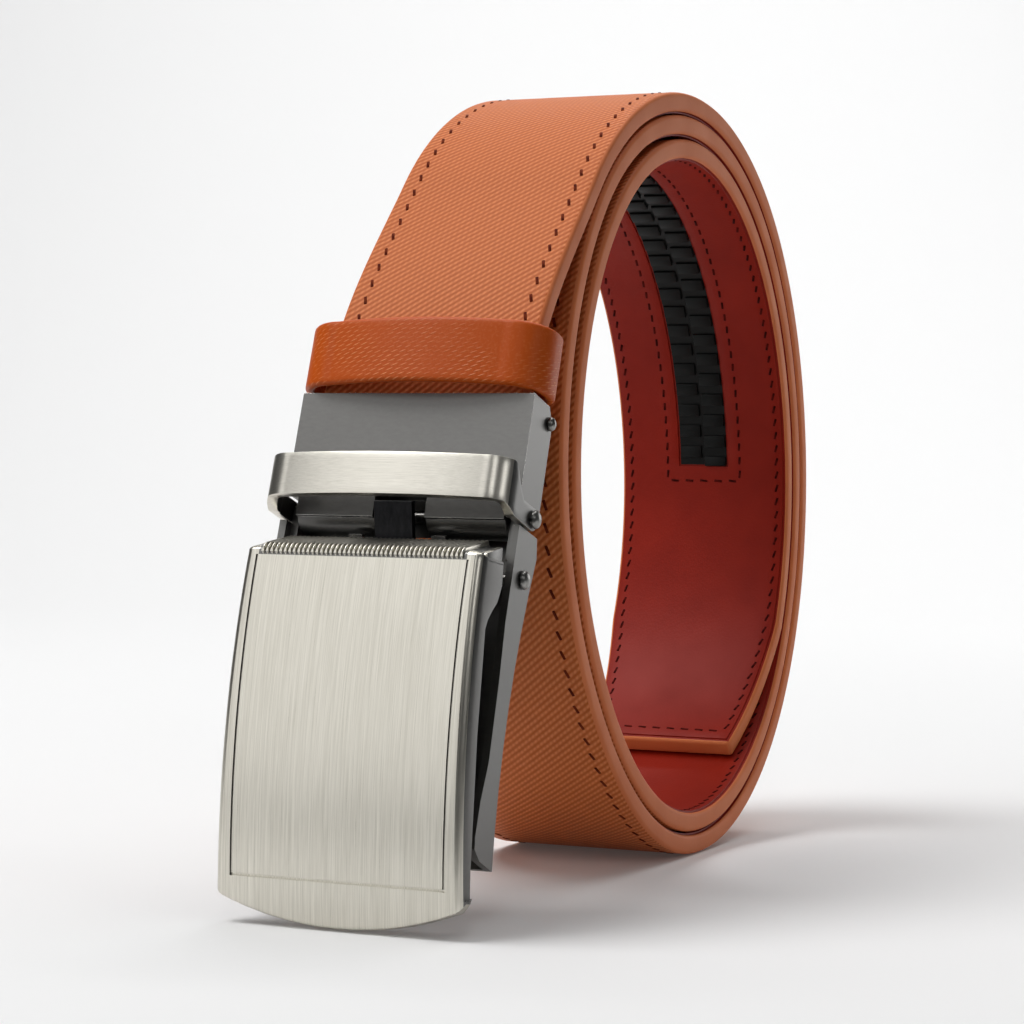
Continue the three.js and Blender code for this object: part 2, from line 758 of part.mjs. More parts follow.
function makeFacePlate() {
  const top = plateAbovePin;
  const front = plateFront(top);
  const combOutline = [
    [front + 0.2, top - 0.6],
    [front + 0.9, top + 0.1],
    [front + combDepth, top + combRise],
    [front + combDepth, top + combRise - combThickness],
    [front + plateSheet, top - combThickness],
    [front + 0.9, top - combThickness],
  ];
  const comb = slab(combOutline, -combHalfWidth, combHalfWidth);
  const shelfHalf = plateHalfAt(top) - plateWall * 0.5;
  const shelf = slab([[front + 0.9, top - 1.3], [front + 0.9, top - 0.3],
    [front + lugDepth, top + lugRise - 0.3], [front + lugDepth, top + lugRise - 1.7]], -shelfHalf, shelfHalf);
  const lugs = [1, -1].map(side => {
    const outer = plateHalfAt(top);
    const x = [outer - plateWall, outer - 0.1].map(v => side * v).sort((a, b) => a - b);
    return slab([[front + 1.4, top - 4], [front + 1.4, top - 0.4], [front + lugDepth, top + lugRise - 0.4],
      [front + lugDepth, top - 4]], ...x);
  });
  const earOuter = frameInner - clearance;
  const ears = [1, -1].map(side => {
    const x = [earOuter - leverEarThickness, earOuter].map(v => side * v).sort((a, b) => a - b);
    const foot = plateFront(0) + plateSheet - 0.4;
    const outline = [[foot, leverEarFoot / 2], [foot, -leverEarFoot / 2],
      ...arc(0, 0, leverEarRadius, -80, 80, 8)];
    return slab(outline, ...x);
  });
  const grooveFoot = -panelBelowPin - panelGroove;
  const deep = (from, to) => [...frontLine(from, to, -1), ...frontLine(to, from, panelGrooveDepth)];
  const groove = [
    slab(deep(grooveFoot, panelTop), -panelHalfWidth - panelGroove, -panelHalfWidth),
    slab(deep(grooveFoot, panelTop), panelHalfWidth, panelHalfWidth + panelGroove),
    slab(deep(grooveFoot, -panelBelowPin), -panelHalfWidth, panelHalfWidth),
  ];
  const bore = rod(leverPinRadius + pinClearance, -earOuter - 1, earOuter + 1);
  const body = join(makePlateShell(), comb, shelf, ...lugs, ...ears);
  return cut(body, ...groove, ...combGrooves(top, front), bore);
}

// Grooves that leave the comb's ribs, running up the front and back along the ledge
function combGrooves(top, front) {
  const slope = (combRise - 0.1) / (combDepth - 0.9);
  const outline = [
    [front - 2, panelTop],
    [plateFront(panelTop) + ribDepth, panelTop],
    [front + ribDepth + 0.5, top - ribDepth],
    [front + combDepth + 1, top + combRise + slope - ribDepth],
    [front + combDepth + 1, top + combRise + 3],
    [front - 2, top + combRise + 3],
  ];
  const count = Math.floor((2 * combHalfWidth - ribCut) / ribPitch);
  return Array.from({ length: count }, (unused, i) => {
    const x = (i - (count - 1) / 2) * ribPitch;
    return slab(outline, x - ribCut / 2, x + ribCut / 2);
  });
}

function makeLeverPin() {
  return rod(leverPinRadius, -leverPinHalf, leverPinHalf);
}

// Assembly

const finishes = {
  leather: { color: 0xc0652f, roughness: 0.55, metalness: 0 },
  keeperLeather: { color: 0xc4621f, roughness: 0.45, metalness: 0 },
  lining: { color: 0x7a1d12, roughness: 0.4, metalness: 0 },
  trackPlastic: { color: 0x151616, roughness: 0.4, metalness: 0 },
  brushedMetal: { color: 0xc2c1b8, roughness: 0.35, metalness: 1 },
  satinMetal: { color: 0x77787a, roughness: 0.4, metalness: 1 },
  darkMetal: { color: 0x3c3d3f, roughness: 0.45, metalness: 1 },
};

function mesh(name, solid, finish, position = [0, 0, 0]) {
  const piece = new THREE.Mesh(toGeometry(solid), new THREE.MeshStandardMaterial(finishes[finish]));
  piece.name = name;
  piece.position.set(...position);
  return piece;
}

const coil = new THREE.Group();
coil.add(
  mesh('strap_face', makeStrapFace(), 'leather'),
  mesh('strap_lining', makeStrapLining(), 'lining'),
  mesh('ratchet_track', makeRatchetTrack(), 'trackPlastic'));

// The keeper sits on the strap just above the clamp, its loose front tipped down
const keeperStation = station(clampedLength + keeperAboveClamp + keeperHeight / 2);
const keeper = new THREE.Group();
keeper.add(mesh('leather_keeper', makeLeatherKeeper(), 'keeperLeather'));
const keeperMiddle = atDepth(keeperStation, strapThickness / 2);
keeper.position.set(0, ...keeperMiddle);
keeper.rotation.x = Math.atan2(keeperStation.inward.y, keeperStation.inward.x) + radians(keeperTilt);
coil.add(keeper);

const buckle = new THREE.Group();
const hingePlace = fromBuckle(0, 0);
buckle.position.set(0, hingePlace.x, hingePlace.y);
buckle.rotation.x = -radians(buckleLean);
buckle.add(
  mesh('clamp_body', makeClampBody(), 'satinMetal'),
  mesh('clamp_jaw', makeClampJaw(), 'satinMetal'),
  mesh('jaw_pin', makeJawPin(), 'satinMetal', [0, jawPinY, jawPinZ]),
  mesh('hinge_pin', makeHingePin(), 'satinMetal'),
  mesh('metal_loop', makeMetalLoop(), 'brushedMetal'),
  mesh('buckle_frame', makeBuckleFrame(), 'satinMetal'),
  mesh('pawl', makePawl(), 'darkMetal', [0, pawlPinY, -pawlPinBelowHinge]),
  mesh('pawl_pin', makePawlPin(), 'satinMetal', [0, pawlPinY, -pawlPinBelowHinge]),
  mesh('lever_pin', makeLeverPin(), 'satinMetal', [0, -leverPinForward, -leverPinBelowHinge]));

const lever = new THREE.Group();
lever.position.set(0, -leverPinForward, -leverPinBelowHinge);
lever.rotation.x = radians(plateWedge);
lever.add(mesh('face_plate', makeFacePlate(), 'brushedMetal'));
buckle.add(lever);
coil.add(buckle);

// The belt stands on the coil and on the plate's lip, so it leans until both touch the ground
function lowest(object, lean) {
  let low = Infinity;
  object.updateWorldMatrix(true, true);
  object.traverse(piece => {
    if (!piece.isMesh) return;
    const vertex = new THREE.Vector3();
    for (let i = 0; i < piece.geometry.attributes.position.count; i++) {
      vertex.fromBufferAttribute(piece.geometry.attributes.position, i).applyMatrix4(piece.matrixWorld);
      low = Math.min(low, vertex.y * Math.sin(lean) + vertex.z * Math.cos(lean));
    }
  });
  return low;
}

function restingLean() {
  let level = radians(-10);
  let tipped = radians(20);
  const strap = coil.getObjectByName('strap_face');
  for (let i = 0; i < 30; i++) {
    const lean = (level + tipped) / 2;
    if (lowest(lever, lean) > lowest(strap, lean)) level = lean;
    else tipped = lean;
  }
  return (level + tipped) / 2;
}

coil.rotation.x = restingLean();
coil.updateWorldMatrix(true, true);
const box = new THREE.Box3().setFromObject(coil, true);
coil.position.set(0, -(box.min.y + box.max.y) / 2, -box.min.z);

const belt = new THREE.Group();
belt.name = 'ratchet_belt';
belt.add(coil);

export default belt;
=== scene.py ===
"""The looks of the rolled ratchet belt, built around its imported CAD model.

Sizes are in millimetres while a piece is made, and each finished mesh is in metres, in the model's frame.
"""

import bisect
import json
import math

import bmesh
import bpy
from mathutils import Matrix, Vector


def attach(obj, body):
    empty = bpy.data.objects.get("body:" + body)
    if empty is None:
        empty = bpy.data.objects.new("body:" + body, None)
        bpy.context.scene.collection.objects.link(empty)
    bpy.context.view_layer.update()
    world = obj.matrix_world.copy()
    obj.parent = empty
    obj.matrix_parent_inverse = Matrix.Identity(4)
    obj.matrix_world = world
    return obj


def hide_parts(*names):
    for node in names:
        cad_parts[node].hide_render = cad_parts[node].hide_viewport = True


MM = 0.001
TURN = 2 * math.pi

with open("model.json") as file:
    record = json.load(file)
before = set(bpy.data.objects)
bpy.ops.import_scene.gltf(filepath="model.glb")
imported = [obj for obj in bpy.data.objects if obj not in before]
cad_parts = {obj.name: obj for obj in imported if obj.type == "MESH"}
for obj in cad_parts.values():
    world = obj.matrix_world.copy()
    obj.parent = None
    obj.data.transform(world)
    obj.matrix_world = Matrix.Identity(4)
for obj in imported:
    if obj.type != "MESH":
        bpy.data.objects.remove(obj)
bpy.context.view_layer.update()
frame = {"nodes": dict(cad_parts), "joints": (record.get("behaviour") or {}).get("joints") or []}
joints = {joint["name"]: joint for joint in frame["joints"]}

# The strap, as the CAD source winds it
STRAP_HALF = 17.5
STRAP_THICK = 3.7
STRAP_BODY = 3.42  # the leather under the lining sheet
CLAMPED = 12.5
COIL_TALL, COIL_DEEP, COIL_TILT = 69.8, 65.6, math.radians(-18.2)
LAYER_PITCH = 3.98
TURNS_TO_TIP = 2.42
FIRST_TURN, TURN_STEP = -0.125, 0.125
LAYERS_AT_EIGHTHS = (
    -0.55, 0, -0.12, 0, 0.05, 0.6, 1.2, 0.65, 0.45, 1.0, 1.0, 1.12, 1.12, 1.62, 2.22, 2.0, 1.88,
    2.02, 2.2, 2.4, 2.28, 2.2)
TIP_CUT_LENGTH, TIP_CUT_DEPTH = 31, 3.2
TRACK_WIDTH, TOOTH_PITCH, TOOTH_COUNT, TRACK_TO_TIP = 9.7, 4.5, 48, 65
LINING_INSET = 0.9  # from the strap's edge to the lining sheet
CUTS_ALONG = 520  # enough for the coil's curve to look round
SEAM_INSET, SEAM_FROM, SEAM_TO_TIP = 3, 14, 3.2

# The buckle's own frame hangs on the hinge pin, and the face plate's on the lever pin
HINGE_FROM_COIL = Vector((-82.7, -2.7))
BUCKLE_LEAN = math.radians(20.3)
LEVER_FROM_HINGE = Vector((-1.9, -48.5))
JAW_FROM_HINGE = Vector((3.0, 16.4))
PLATE_WEDGE = math.radians(10)
CLAMP_TOP = 19.0
STRAP_IN_CLAMP = -2.2


# Places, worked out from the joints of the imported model

def placed(turned, at):
    """The matrix of a frame turned about X, with its origin at (y, z)."""
    return Matrix.Translation((0, at[0], at[1])) @ Matrix.Rotation(turned, 4, "X")


def in_side_view(point):
    """The (y, z) of a place that the model gives in metres."""
    return Vector(point).yz / MM


hinge_at = in_side_view(joints["frame_hinge"]["pos_m"])
lever_at = in_side_view(joints["plate_hinge"]["pos_m"])
pawl_at = in_side_view(joints["pawl_pivot"]["pos_m"])
down_buckle = lever_at - hinge_at
buckle_turn = (math.atan2(down_buckle.y, down_buckle.x)
               - math.atan2(LEVER_FROM_HINGE.y, LEVER_FROM_HINGE.x))
coil_turn = buckle_turn + BUCKLE_LEAN
coil_at = hinge_at - Matrix.Rotation(coil_turn, 2) @ HINGE_FROM_COIL
IN_COIL = placed(coil_turn, coil_at)
IN_BUCKLE = placed(buckle_turn, hinge_at)
ON_LEVER = placed(buckle_turn + PLATE_WEDGE, lever_at)
jaw_at = (IN_BUCKLE @ Vector((0, *JAW_FROM_HINGE))).yz


# Camera at the photograph's angle, as it was fitted to the coil, in the coil's frame
LENS, SENSOR = 94.39, 36
CAMERA_AT = (180.8666, -456.0626, 16.809)
CAMERA_FORWARD = Vector((-0.4008, 0.9150, -0.0451))
CAMERA_UP = Vector((-0.0181, 0.0413, 0.9990))


def make_camera():
    data = bpy.data.cameras.new("camera")
    data.lens, data.sensor_width = LENS, SENSOR
    data.clip_start, data.clip_end = 0.01, 50
    camera = bpy.data.objects.new("camera", data)
    forward = CAMERA_FORWARD.normalized()
    right = forward.cross(CAMERA_UP).normalized()
    facing = Matrix((right, right.cross(forward), -forward)).transposed().to_4x4()
    fitted = IN_COIL @ Matrix.Translation(CAMERA_AT) @ facing
    fitted.translation *= MM
    camera.matrix_world = fitted
    bpy.context.scene.collection.objects.link(camera)
    bpy.context.scene.camera = camera


make_camera()
bpy.context.scene.view_settings.view_transform = "Standard"


# Lines that a flat piece is bent along

class Line:
    """A line of 2-D points, read by its length, with the normal on its right-hand side."""

    def __init__(self, points):
        self.points = points
        self.lengths = [0.0]
        for before, after in zip(points, points[1:]):
            self.lengths.append(self.lengths[-1] + (after - before).length)
        self.normals = []
        for i in range(len(points)):
            ahead = points[min(i + 1, len(points) - 1)] - points[max(i - 1, 0)]
            self.normals.append(Vector((ahead.y, -ahead.x)).normalized())
        self.length = self.lengths[-1]

    def at(self, length, depth=0.0):
        """The point at that length, moved along the normal by depth."""
        i = min(max(bisect.bisect(self.lengths, length), 1), len(self.points) - 1)
        share = (length - self.lengths[i - 1]) / (self.lengths[i] - self.lengths[i - 1])
        normal = self.normals[i - 1].lerp(self.normals[i], min(max(share, 0), 1)).normalized()
        return self.points[i - 1].lerp(self.points[i], share) + normal * depth


def layers_deep(turn):
    """How many layers lie outside the strap there: a smooth line through the table."""
    last = len(LAYERS_AT_EIGHTHS) - 1
    place = min(max((turn - FIRST_TURN) / TURN_STEP, 0), last - 0.001)
    i = int(place)
    t = place - i
    p0, p1, p2, p3 = (LAYERS_AT_EIGHTHS[min(max(k, 0), last)] for k in (i - 1, i, i + 1, i + 2))
    v0, v1 = (p2 - p0) / 2, (p3 - p1) / 2
    return (2 * p1 - 2 * p2 + v0 + v1) * t ** 3 + (-3 * p1 + 3 * p2 - 2 * v0 - v1) * t ** 2 + v0 * t + p1


def coil_point(turn):
    """The strap's outer face on the coil, as a leaning oval less the layers outside it."""
    angle = turn * TURN
    oval = COIL_TALL * COIL_DEEP / math.hypot(
        COIL_DEEP * math.cos(angle - COIL_TILT), COIL_TALL * math.sin(angle - COIL_TILT))
    radius = oval - layers_deep(turn) * LAYER_PITCH
    return Vector((radius * math.sin(angle), radius * math.cos(angle)))


def from_buckle(y, z):
    """A point of the buckle's frame, in the coil's."""
    return HINGE_FROM_COIL + Matrix.Rotation(-BUCKLE_LEAN, 2) @ Vector((y, z))


def strap_line(steps_per_turn=300, steps_to_coil=40):
    """The strap's outer face, from its end in the clamp to the tip."""
    in_clamp = from_buckle(STRAP_IN_CLAMP, CLAMP_TOP - CLAMPED)
    mouth = from_buckle(STRAP_IN_CLAMP, CLAMP_TOP)
    start = coil_point(FIRST_TURN)
    reach = (start - mouth).length / 3
    a = mouth + (mouth - in_clamp).normalized() * reach
    b = start - (coil_point(FIRST_TURN + 0.01) - start).normalized() * reach
    points = [in_clamp]
    for i in range(steps_to_coil + 1):
        t = i / steps_to_coil
        points.append(mouth * (1 - t) ** 3 + a * 3 * t * (1 - t) ** 2
                      + b * 3 * t * t * (1 - t) + start * t ** 3)
    turns = TURNS_TO_TIP - FIRST_TURN
    steps = round(turns * steps_per_turn)
    points += [coil_point(FIRST_TURN + turns * i / steps) for i in range(1, steps + 1)]
    return Line(points)


strap = strap_line()
TRACK_END = strap.length - TRACK_TO_TIP
TRACK_START = TRACK_END - TOOTH_COUNT * TOOTH_PITCH


def half_width(length):
    """Half the strap's width at a length: the tip is cut on a slant on both sides."""
    share = (length - strap.length + TIP_CUT_LENGTH) / TIP_CUT_LENGTH
    return STRAP_HALF - max(share, 0) * TIP_CUT_DEPTH


def read(rows, place):
    """The height at a place on the straight lines through a table of (place, height)."""
    for (x0, y0), (x1, y1) in zip(rows, rows[1:]):
        if place <= x1:
            return y0 + (y1 - y0) * max(place - x0, 0) / (x1 - x0)
    return rows[-1][1]


# Making pieces

def finish_piece(name, bm, place, body, materials, replaces=(), sharp=40):
    """Puts the mesh in its place, in metres, and makes it a piece that rides on the body."""
    bm.transform(Matrix.Scale(MM, 4) @ place)
    for face in bm.faces:
        face.smooth = True
    mesh = bpy.data.meshes.new(name)
    bm.to_mesh(mesh)
    bm.free()
    mesh.set_sharp_from_angle(angle=math.radians(sharp))
    for material in materials:
        mesh.materials.append(material)
    piece = bpy.data.objects.new(name, mesh)
    bpy.context.scene.collection.objects.link(piece)
    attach(piece, body)
    if replaces:
        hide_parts(*replaces)
    return piece


def bevel(bm, edges, width, segments):
    """Rounds the edges off to that width."""
    return bmesh.ops.bevel(bm, geom=list(edges), offset=width, segments=segments, profile=0.5,
                           affect="EDGES", material=-1, clamp_overlap=True)


def box(bm, x, y, z):
    """A block between two limits along each axis."""
    made = bmesh.ops.create_cube(bm, size=1)["verts"]
    size = Vector((x[1] - x[0], y[1] - y[0], z[1] - z[0]))
    bmesh.ops.scale(bm, vec=size, verts=made)
    bmesh.ops.translate(bm, vec=((x[0] + x[1]) / 2, (y[0] + y[1]) / 2, (z[0] + z[1]) / 2), verts=made)
    return made


def edges_along(bm, axis, longest):
    """The edges that run along an axis for at least that length."""
    return [e for e in bm.edges if abs((e.verts[0].co - e.verts[1].co)[axis]) > longest]


FLAT_PLACE = "flat"


def keep_flat_place(bm):
    """Stores each point's flat place, in mm, as the UV map that the leather patterns read."""
    layer = bm.loops.layers.uv.new(FLAT_PLACE)
    for face in bm.faces:
        for loop in face.loops:
            loop[layer].uv = loop.vert.co.xy


def wind(bm):
    """Bends a flat piece round the coil: x across, y along the strap, z its depth inwards."""
    for vert in bm.verts:
        x, length, depth = vert.co
        y, z = strap.at(length, depth)
        vert.co = (x, y, z)


# Materials

def linear(colour):
    """An sRGB hex value as the linear colour that a shader takes."""
    channels = [((colour >> shift) & 255) / 255 for shift in (16, 8, 0)]
    return [c / 12.92 if c <= 0.04045 else ((c + 0.055) / 1.055) ** 2.4 for c in channels] + [1]


def node(material, kind, inputs=None, **settings):
    """Adds a node with its settings; an input is a value or another node's output."""
    made = material.node_tree.nodes.new(kind)
    for name, value in settings.items():
        setattr(made, name, value)
    for name, value in (inputs or {}).items():
        if isinstance(value, bpy.types.NodeSocket):
            material.node_tree.links.new(value, made.inputs[name])
        else:
            made.inputs[name].default_value = value
    return made


def surface(name, **sockets):
    """A new material and its shader, with the constant values on the shader's sockets."""
    material = bpy.data.materials.new(name)
    material.use_nodes = True
    shader = material.node_tree.nodes["Principled BSDF"]
    for socket, value in sockets.items():
        shader.inputs[socket.replace("_", " ")].default_value = value
    return material, shader


def link(material, output, shader, socket):
    """Joins a node's output to a socket of the shader."""
    material.node_tree.links.new(output, shader.inputs[socket])


def bands(material, flat, slant, pitch):
    """Soft parallel bands across a flat place in mm: their slant in degrees and their pitch.

    The texture's own bands lie TURN / 20 apart.
    """
    turned = node(material, "ShaderNodeMapping", {
        "Vector": flat, "Rotation": (0, 0, -math.radians(slant))})
    wave = node(material, "ShaderNodeTexWave", {
        "Vector": turned.outputs["Vector"], "Scale": TURN / 20 / pitch}, bands_direction="Y")
    return wave.outputs["Fac"]


def embossed_leather(name, base, light, row, dash, broken, thin, depth, gloss, clear):
    """Split leather with an embossed polyurethane skin: slanted rows of raised dashes, painted in a lighter
    colour as a highlight where they catch the light.

    row and dash are each a slant in degrees and a pitch in mm, near the real one. broken is how far the
    rows fall apart into dashes, thin narrows them, depth is their height in mm, and clear is how much of
    the pattern is smoothed away in patches. The grain is drawn twice as coarse as a real one, to show.
    """
    grain_mm, patch_mm = 0.45, 9
    m, shader = surface(name, Specular_IOR_Level=0.22)
    flat = node(m, "ShaderNodeUVMap", uv_map=FLAT_PLACE).outputs["UV"]
    rows = bands(m, flat, *row)
    breaks = bands(m, flat, *dash)
    raised = node(m, "ShaderNodeMath", {0: breaks, 1: broken, 2: 1 - broken},
                  operation="MULTIPLY_ADD")
    raised = node(m, "ShaderNodeMath", {0: raised.outputs[0], 1: rows}, operation="MULTIPLY")
    raised = node(m, "ShaderNodeMapRange", {"Value": raised.outputs[0], "From Min": thin})
    obj = node(m, "ShaderNodeTexCoord").outputs["Object"]
    grain = node(m, "ShaderNodeTexNoise", {"Vector": obj, "Scale": 1 / (grain_mm * MM), "Detail": 3.0})
    blotch = node(m, "ShaderNodeTexNoise", {"Vector": obj, "Scale": 1 / (patch_mm * MM), "Detail": 2.0})
    kept = node(m, "ShaderNodeMapRange", {"Value": blotch.outputs["Fac"], "From Min": 0.35,
                                          "From Max": 0.65, "To Min": 1 - clear, "To Max": 1.0})
    raised = node(m, "ShaderNodeMath", {0: raised.outputs["Result"], 1: kept.outputs["Result"]},
                  operation="MULTIPLY")
    speckled = node(m, "ShaderNodeMath", {0: grain.outputs["Fac"], 1: 0.5, 2: -0.25},
                    operation="MULTIPLY_ADD")
    factor = node(m, "ShaderNodeMath", {0: raised.outputs[0], 1: speckled.outputs[0]}, operation="ADD",
                  use_clamp=True)
    # The raised dashes take the lighter colour: a painted highlight where they catch the light
    tone = node(m, "ShaderNodeMix", {"Factor": factor.outputs[0], "A": linear(base), "B": linear(light)},
                data_type="RGBA")
    link(m, tone.outputs["Result"], shader, "Base Color")
    rough = node(m, "ShaderNodeMapRange", {"Value": grain.outputs["Fac"], "To Min": gloss - 0.06,
                                           "To Max": gloss + 0.1})
    link(m, rough.outputs["Result"], shader, "Roughness")
    height = node(m, "ShaderNodeMath", {0: grain.outputs["Fac"], 1: 0.3, 2: raised.outputs[0]},
                  operation="MULTIPLY_ADD")
    bump = node(m, "ShaderNodeBump", {"Height": height.outputs[0], "Distance": depth * MM, "Strength": 1.0})
    link(m, bump.outputs["Normal"], shader, "Normal")
    return m


def plain_leather(name, base, dark, grain_mm, depth, gloss):
    """Smooth leather under a coat of paint or glaze: a low sheen, fine pores and soft tone changes.

    The pores are about twice as wide as real ones, so that they show.
    """
    m, shader = surface(name, Specular_IOR_Level=0.16)
    patch_mm = 9
    obj = node(m, "ShaderNodeTexCoord").outputs["Object"]
    pores = node(m, "ShaderNodeTexVoronoi", {"Vector": obj, "Scale": 1 / (grain_mm * MM)})
    blotch = node(m, "ShaderNodeTexNoise", {"Vector": obj, "Scale": 1 / (patch_mm * MM), "Detail": 4.0})
    tone = node(m, "ShaderNodeMix", {"Factor": blotch.outputs["Fac"], "A": linear(base), "B": linear(dark)},
                data_type="RGBA")
    link(m, tone.outputs["Result"], shader, "Base Color")
    rough = node(m, "ShaderNodeMapRange", {"Value": blotch.outputs["Fac"], "To Min": gloss - 0.06,
                                           "To Max": gloss + 0.08})
    link(m, rough.outputs["Result"], shader, "Roughness")
    bump = node(m, "ShaderNodeBump", {"Height": pores.outputs["Distance"], "Distance": depth * MM,
                                      "Strength": 0.6})
    link(m, bump.outputs["Normal"], shader, "Normal")
    return m


def brushed_alloy(name, base, dark, gloss, stroke, depth, lean=0.0):
    """Plated metal: fine scratches along one axis draw its reflections out across them.

    stroke is a scratch's size along X, Y and Z in mm. Real brushing is about 0.05 mm wide, and it is drawn
    three times as wide, so that it shows. Where the three sizes are near each other, the metal was tumbled
    and is even to the eye. lean turns the scratches about X with the part that they are on.
    """
    m, shader = surface(name, Metallic=1.0)
    obj = node(m, "ShaderNodeTexCoord").outputs["Object"]
    turned = node(m, "ShaderNodeMapping", {"Vector": obj, "Rotation": (-lean, 0, 0)})
    stretched = node(m, "ShaderNodeMapping", {
        "Vector": turned.outputs["Vector"], "Scale": [1 / (s * MM) for s in stroke]})
    fine = node(m, "ShaderNodeTexNoise", {
        "Vector": stretched.outputs["Vector"], "Scale": 1.0, "Detail": 5.0, "Roughness": 0.7})
    tone = node(m, "ShaderNodeMapRange", {"Value": fine.outputs["Fac"], "From Min": 0.3, "From Max": 0.7})
    mixed = node(m, "ShaderNodeMix", {
        "Factor": tone.outputs["Result"], "A": linear(dark), "B": linear(base)}, data_type="RGBA")
    link(m, mixed.outputs["Result"], shader, "Base Color")
    rough = node(m, "ShaderNodeMapRange", {"Value": fine.outputs["Fac"], "To Min": gloss - 0.08,
                                           "To Max": gloss + 0.1})
    link(m, rough.outputs["Result"], shader, "Roughness")
    bump = node(m, "ShaderNodeBump", {"Height": fine.outputs["Fac"], "Distance": depth * MM,
                                      "Strength": 0.5})
    link(m, bump.outputs["Normal"], shader, "Normal")
    return m


def thread(name, base, light):
    """Polyester sewing thread, twisted from plies: matt, with slanted light and dark turns.

    The texture's own bands lie TURN / (10 * sqrt(3)) apart along its diagonal.
    """
    m, shader = surface(name, Roughness=0.7, Specular_IOR_Level=0.05)
    twist_mm = 1.14
    obj = node(m, "ShaderNodeTexCoord").outputs["Object"]
    twist = node(m, "ShaderNodeTexWave", {
        "Vector": obj, "Scale": TURN / (10 * math.sqrt(3)) / (twist_mm * MM), "Distortion": 2.0},
        bands_direction="DIAGONAL")
    tone = node(m, "ShaderNodeMix", {"Factor": twist.outputs["Fac"], "A": linear(base), "B": linear(light)},
                data_type="RGBA")
    link(m, tone.outputs["Result"], shader, "Base Color")
    return m


def moulded_plastic(name, base, gloss):
    """Moulded acetal: nearly black, with the faint texture that its mould gave it."""
    m, shader = surface(name, Roughness=gloss, Specular_IOR_Level=0.14)
    texture_mm = 0.4
    obj = node(m, "ShaderNodeTexCoord").outputs["Object"]
    skin = node(m, "ShaderNodeTexNoise", {"Vector": obj, "Scale": 1 / (texture_mm * MM), "Detail": 2.0})
    tone = node(m, "ShaderNodeMix", {"Factor": skin.outputs["Fac"], "A": linear(base),
                                     "B": linear(base + 0x060606)}, data_type="RGBA")
    link(m, tone.outputs["Result"], shader, "Base Color")
    bump = node(m, "ShaderNodeBump", {"Height": skin.outputs["Fac"], "Distance": 0.02 * MM,
                                      "Strength": 0.4})
    link(m, bump.outputs["Normal"], shader, "Normal")
    return m


# The strap's rows hardly break up, and the keeper shows short dashes, smoothed in patches by its bending
strap_skin = embossed_leather("embossed_split_leather", 0xB4581F, 0xDC8450, (41, 0.98), (96, 0.9),
                              broken=0.4, thin=0.05, depth=0.075, gloss=0.55, clear=0.0)
keeper_skin = embossed_leather("embossed_keeper_leather", 0xC0500C, 0xE4925A, (18, 0.45), (42, 0.98),
                               broken=0.9, thin=0.45, depth=0.05, gloss=0.4, clear=1.0)
# Thick paint rounds the strap's edges off, and a glaze gives the lining its low sheen
edge_paint = plain_leather("painted_leather_edge", 0xDA7F4E, 0xC56A3D, 0.5, 0.015, 0.55)
lining_skin = plain_leather("glazed_lining_leather", 0x96200C, 0x7C1607, 0.45, 0.03, 0.5)
brown_thread = thread("brown_polyester_thread", 0x521808, 0x6E2A12)
red_thread = thread("red_polyester_thread", 0x330604, 0x54100A)
black_acetal = moulded_plastic("moulded_black_acetal", 0x0C0E0D, 0.38)
# The plate is brushed upright and the bar across; the rest is plated satin, and its bright edges are a
# painted highlight where the bevels catch the light
plate_metal = brushed_alloy("brushed_nickel_plate", 0xE4E0D5, 0xC0BCB0, 0.3, (0.16, 6, 14), 0.006,
                            lean=buckle_turn + PLATE_WEDGE)
bar_metal = brushed_alloy("brushed_nickel_bar", 0xE6E2D8, 0xCECABF, 0.3, (5, 0.14, 0.14), 0.008,
                          lean=buckle_turn)
satin_metal = brushed_alloy("satin_gunmetal_plating", 0x757472, 0x6E6D6B, 0.36, (1.2, 0.5, 0.5), 0.0005,
                            lean=buckle_turn)
rivet_metal = brushed_alloy("tumbled_rivet_steel", 0x9A9995, 0x767572, 0.3, (0.5, 0.5, 0.5), 0.004)
# A painted highlight: the bright colour put on rounded edges and on the pawl's ears, where they catch the
# light
edge_highlight_paint = brushed_alloy("painted_edge_highlight", 0xE4E2DE, 0xD0CECA, 0.24, (0.6, 0.6, 0.6), 0.001)
dark_metal = brushed_alloy("dark_pawl_steel", 0x3A3A3C, 0x2A2A2C, 0.4, (0.6, 0.6, 2), 0.003)


# The strap

def make_strap_body():
    """The leather with its painted, rounded edges, drawn in a little along the seams."""
    edge_round, seam_reach, seam_sink = 0.8, 0.9, 0.1
    bm = bmesh.new()
    box(bm, (-STRAP_HALF, STRAP_HALF), (0, strap.length), (0, STRAP_BODY))
    bmesh.ops.subdivide_edges(bm, edges=edges_along(bm, 0, 30), cuts=15, use_grid_fill=True)
    rims = [e for e in edges_along(bm, 1, 100) if abs(e.verts[0].co.x) > STRAP_HALF - 0.1]
    tip = [e for e in bm.edges if all(v.co.y > strap.length - 0.1 for v in e.verts)
           and len(e.link_faces) == 2 and e.calc_face_angle(0) > 1]
    bevel(bm, rims + tip, edge_round, 4)
    bmesh.ops.subdivide_edges(bm, edges=edges_along(bm, 1, 100), cuts=CUTS_ALONG, use_grid_fill=True)
    bmesh.ops.recalc_face_normals(bm, faces=bm.faces)
    keep_flat_place(bm)
    for face in bm.faces:
        face.material_index = 0 if face.normal.z < -0.9 else 2 if face.normal.z > 0.9 else 1
    for vert in bm.verts:
        vert.co.x *= half_width(vert.co.y) / STRAP_HALF
        if vert.co.z < STRAP_BODY / 2:
            from_seam = (abs(vert.co.x) - (half_width(vert.co.y) - SEAM_INSET)) / seam_reach
            vert.co.z += seam_sink * math.exp(-from_seam ** 2)
    wind(bm)
    return finish_piece("strap_body", bm, IN_COIL, "belt", [strap_skin, edge_paint, lining_skin],
                        ["strap_face"])


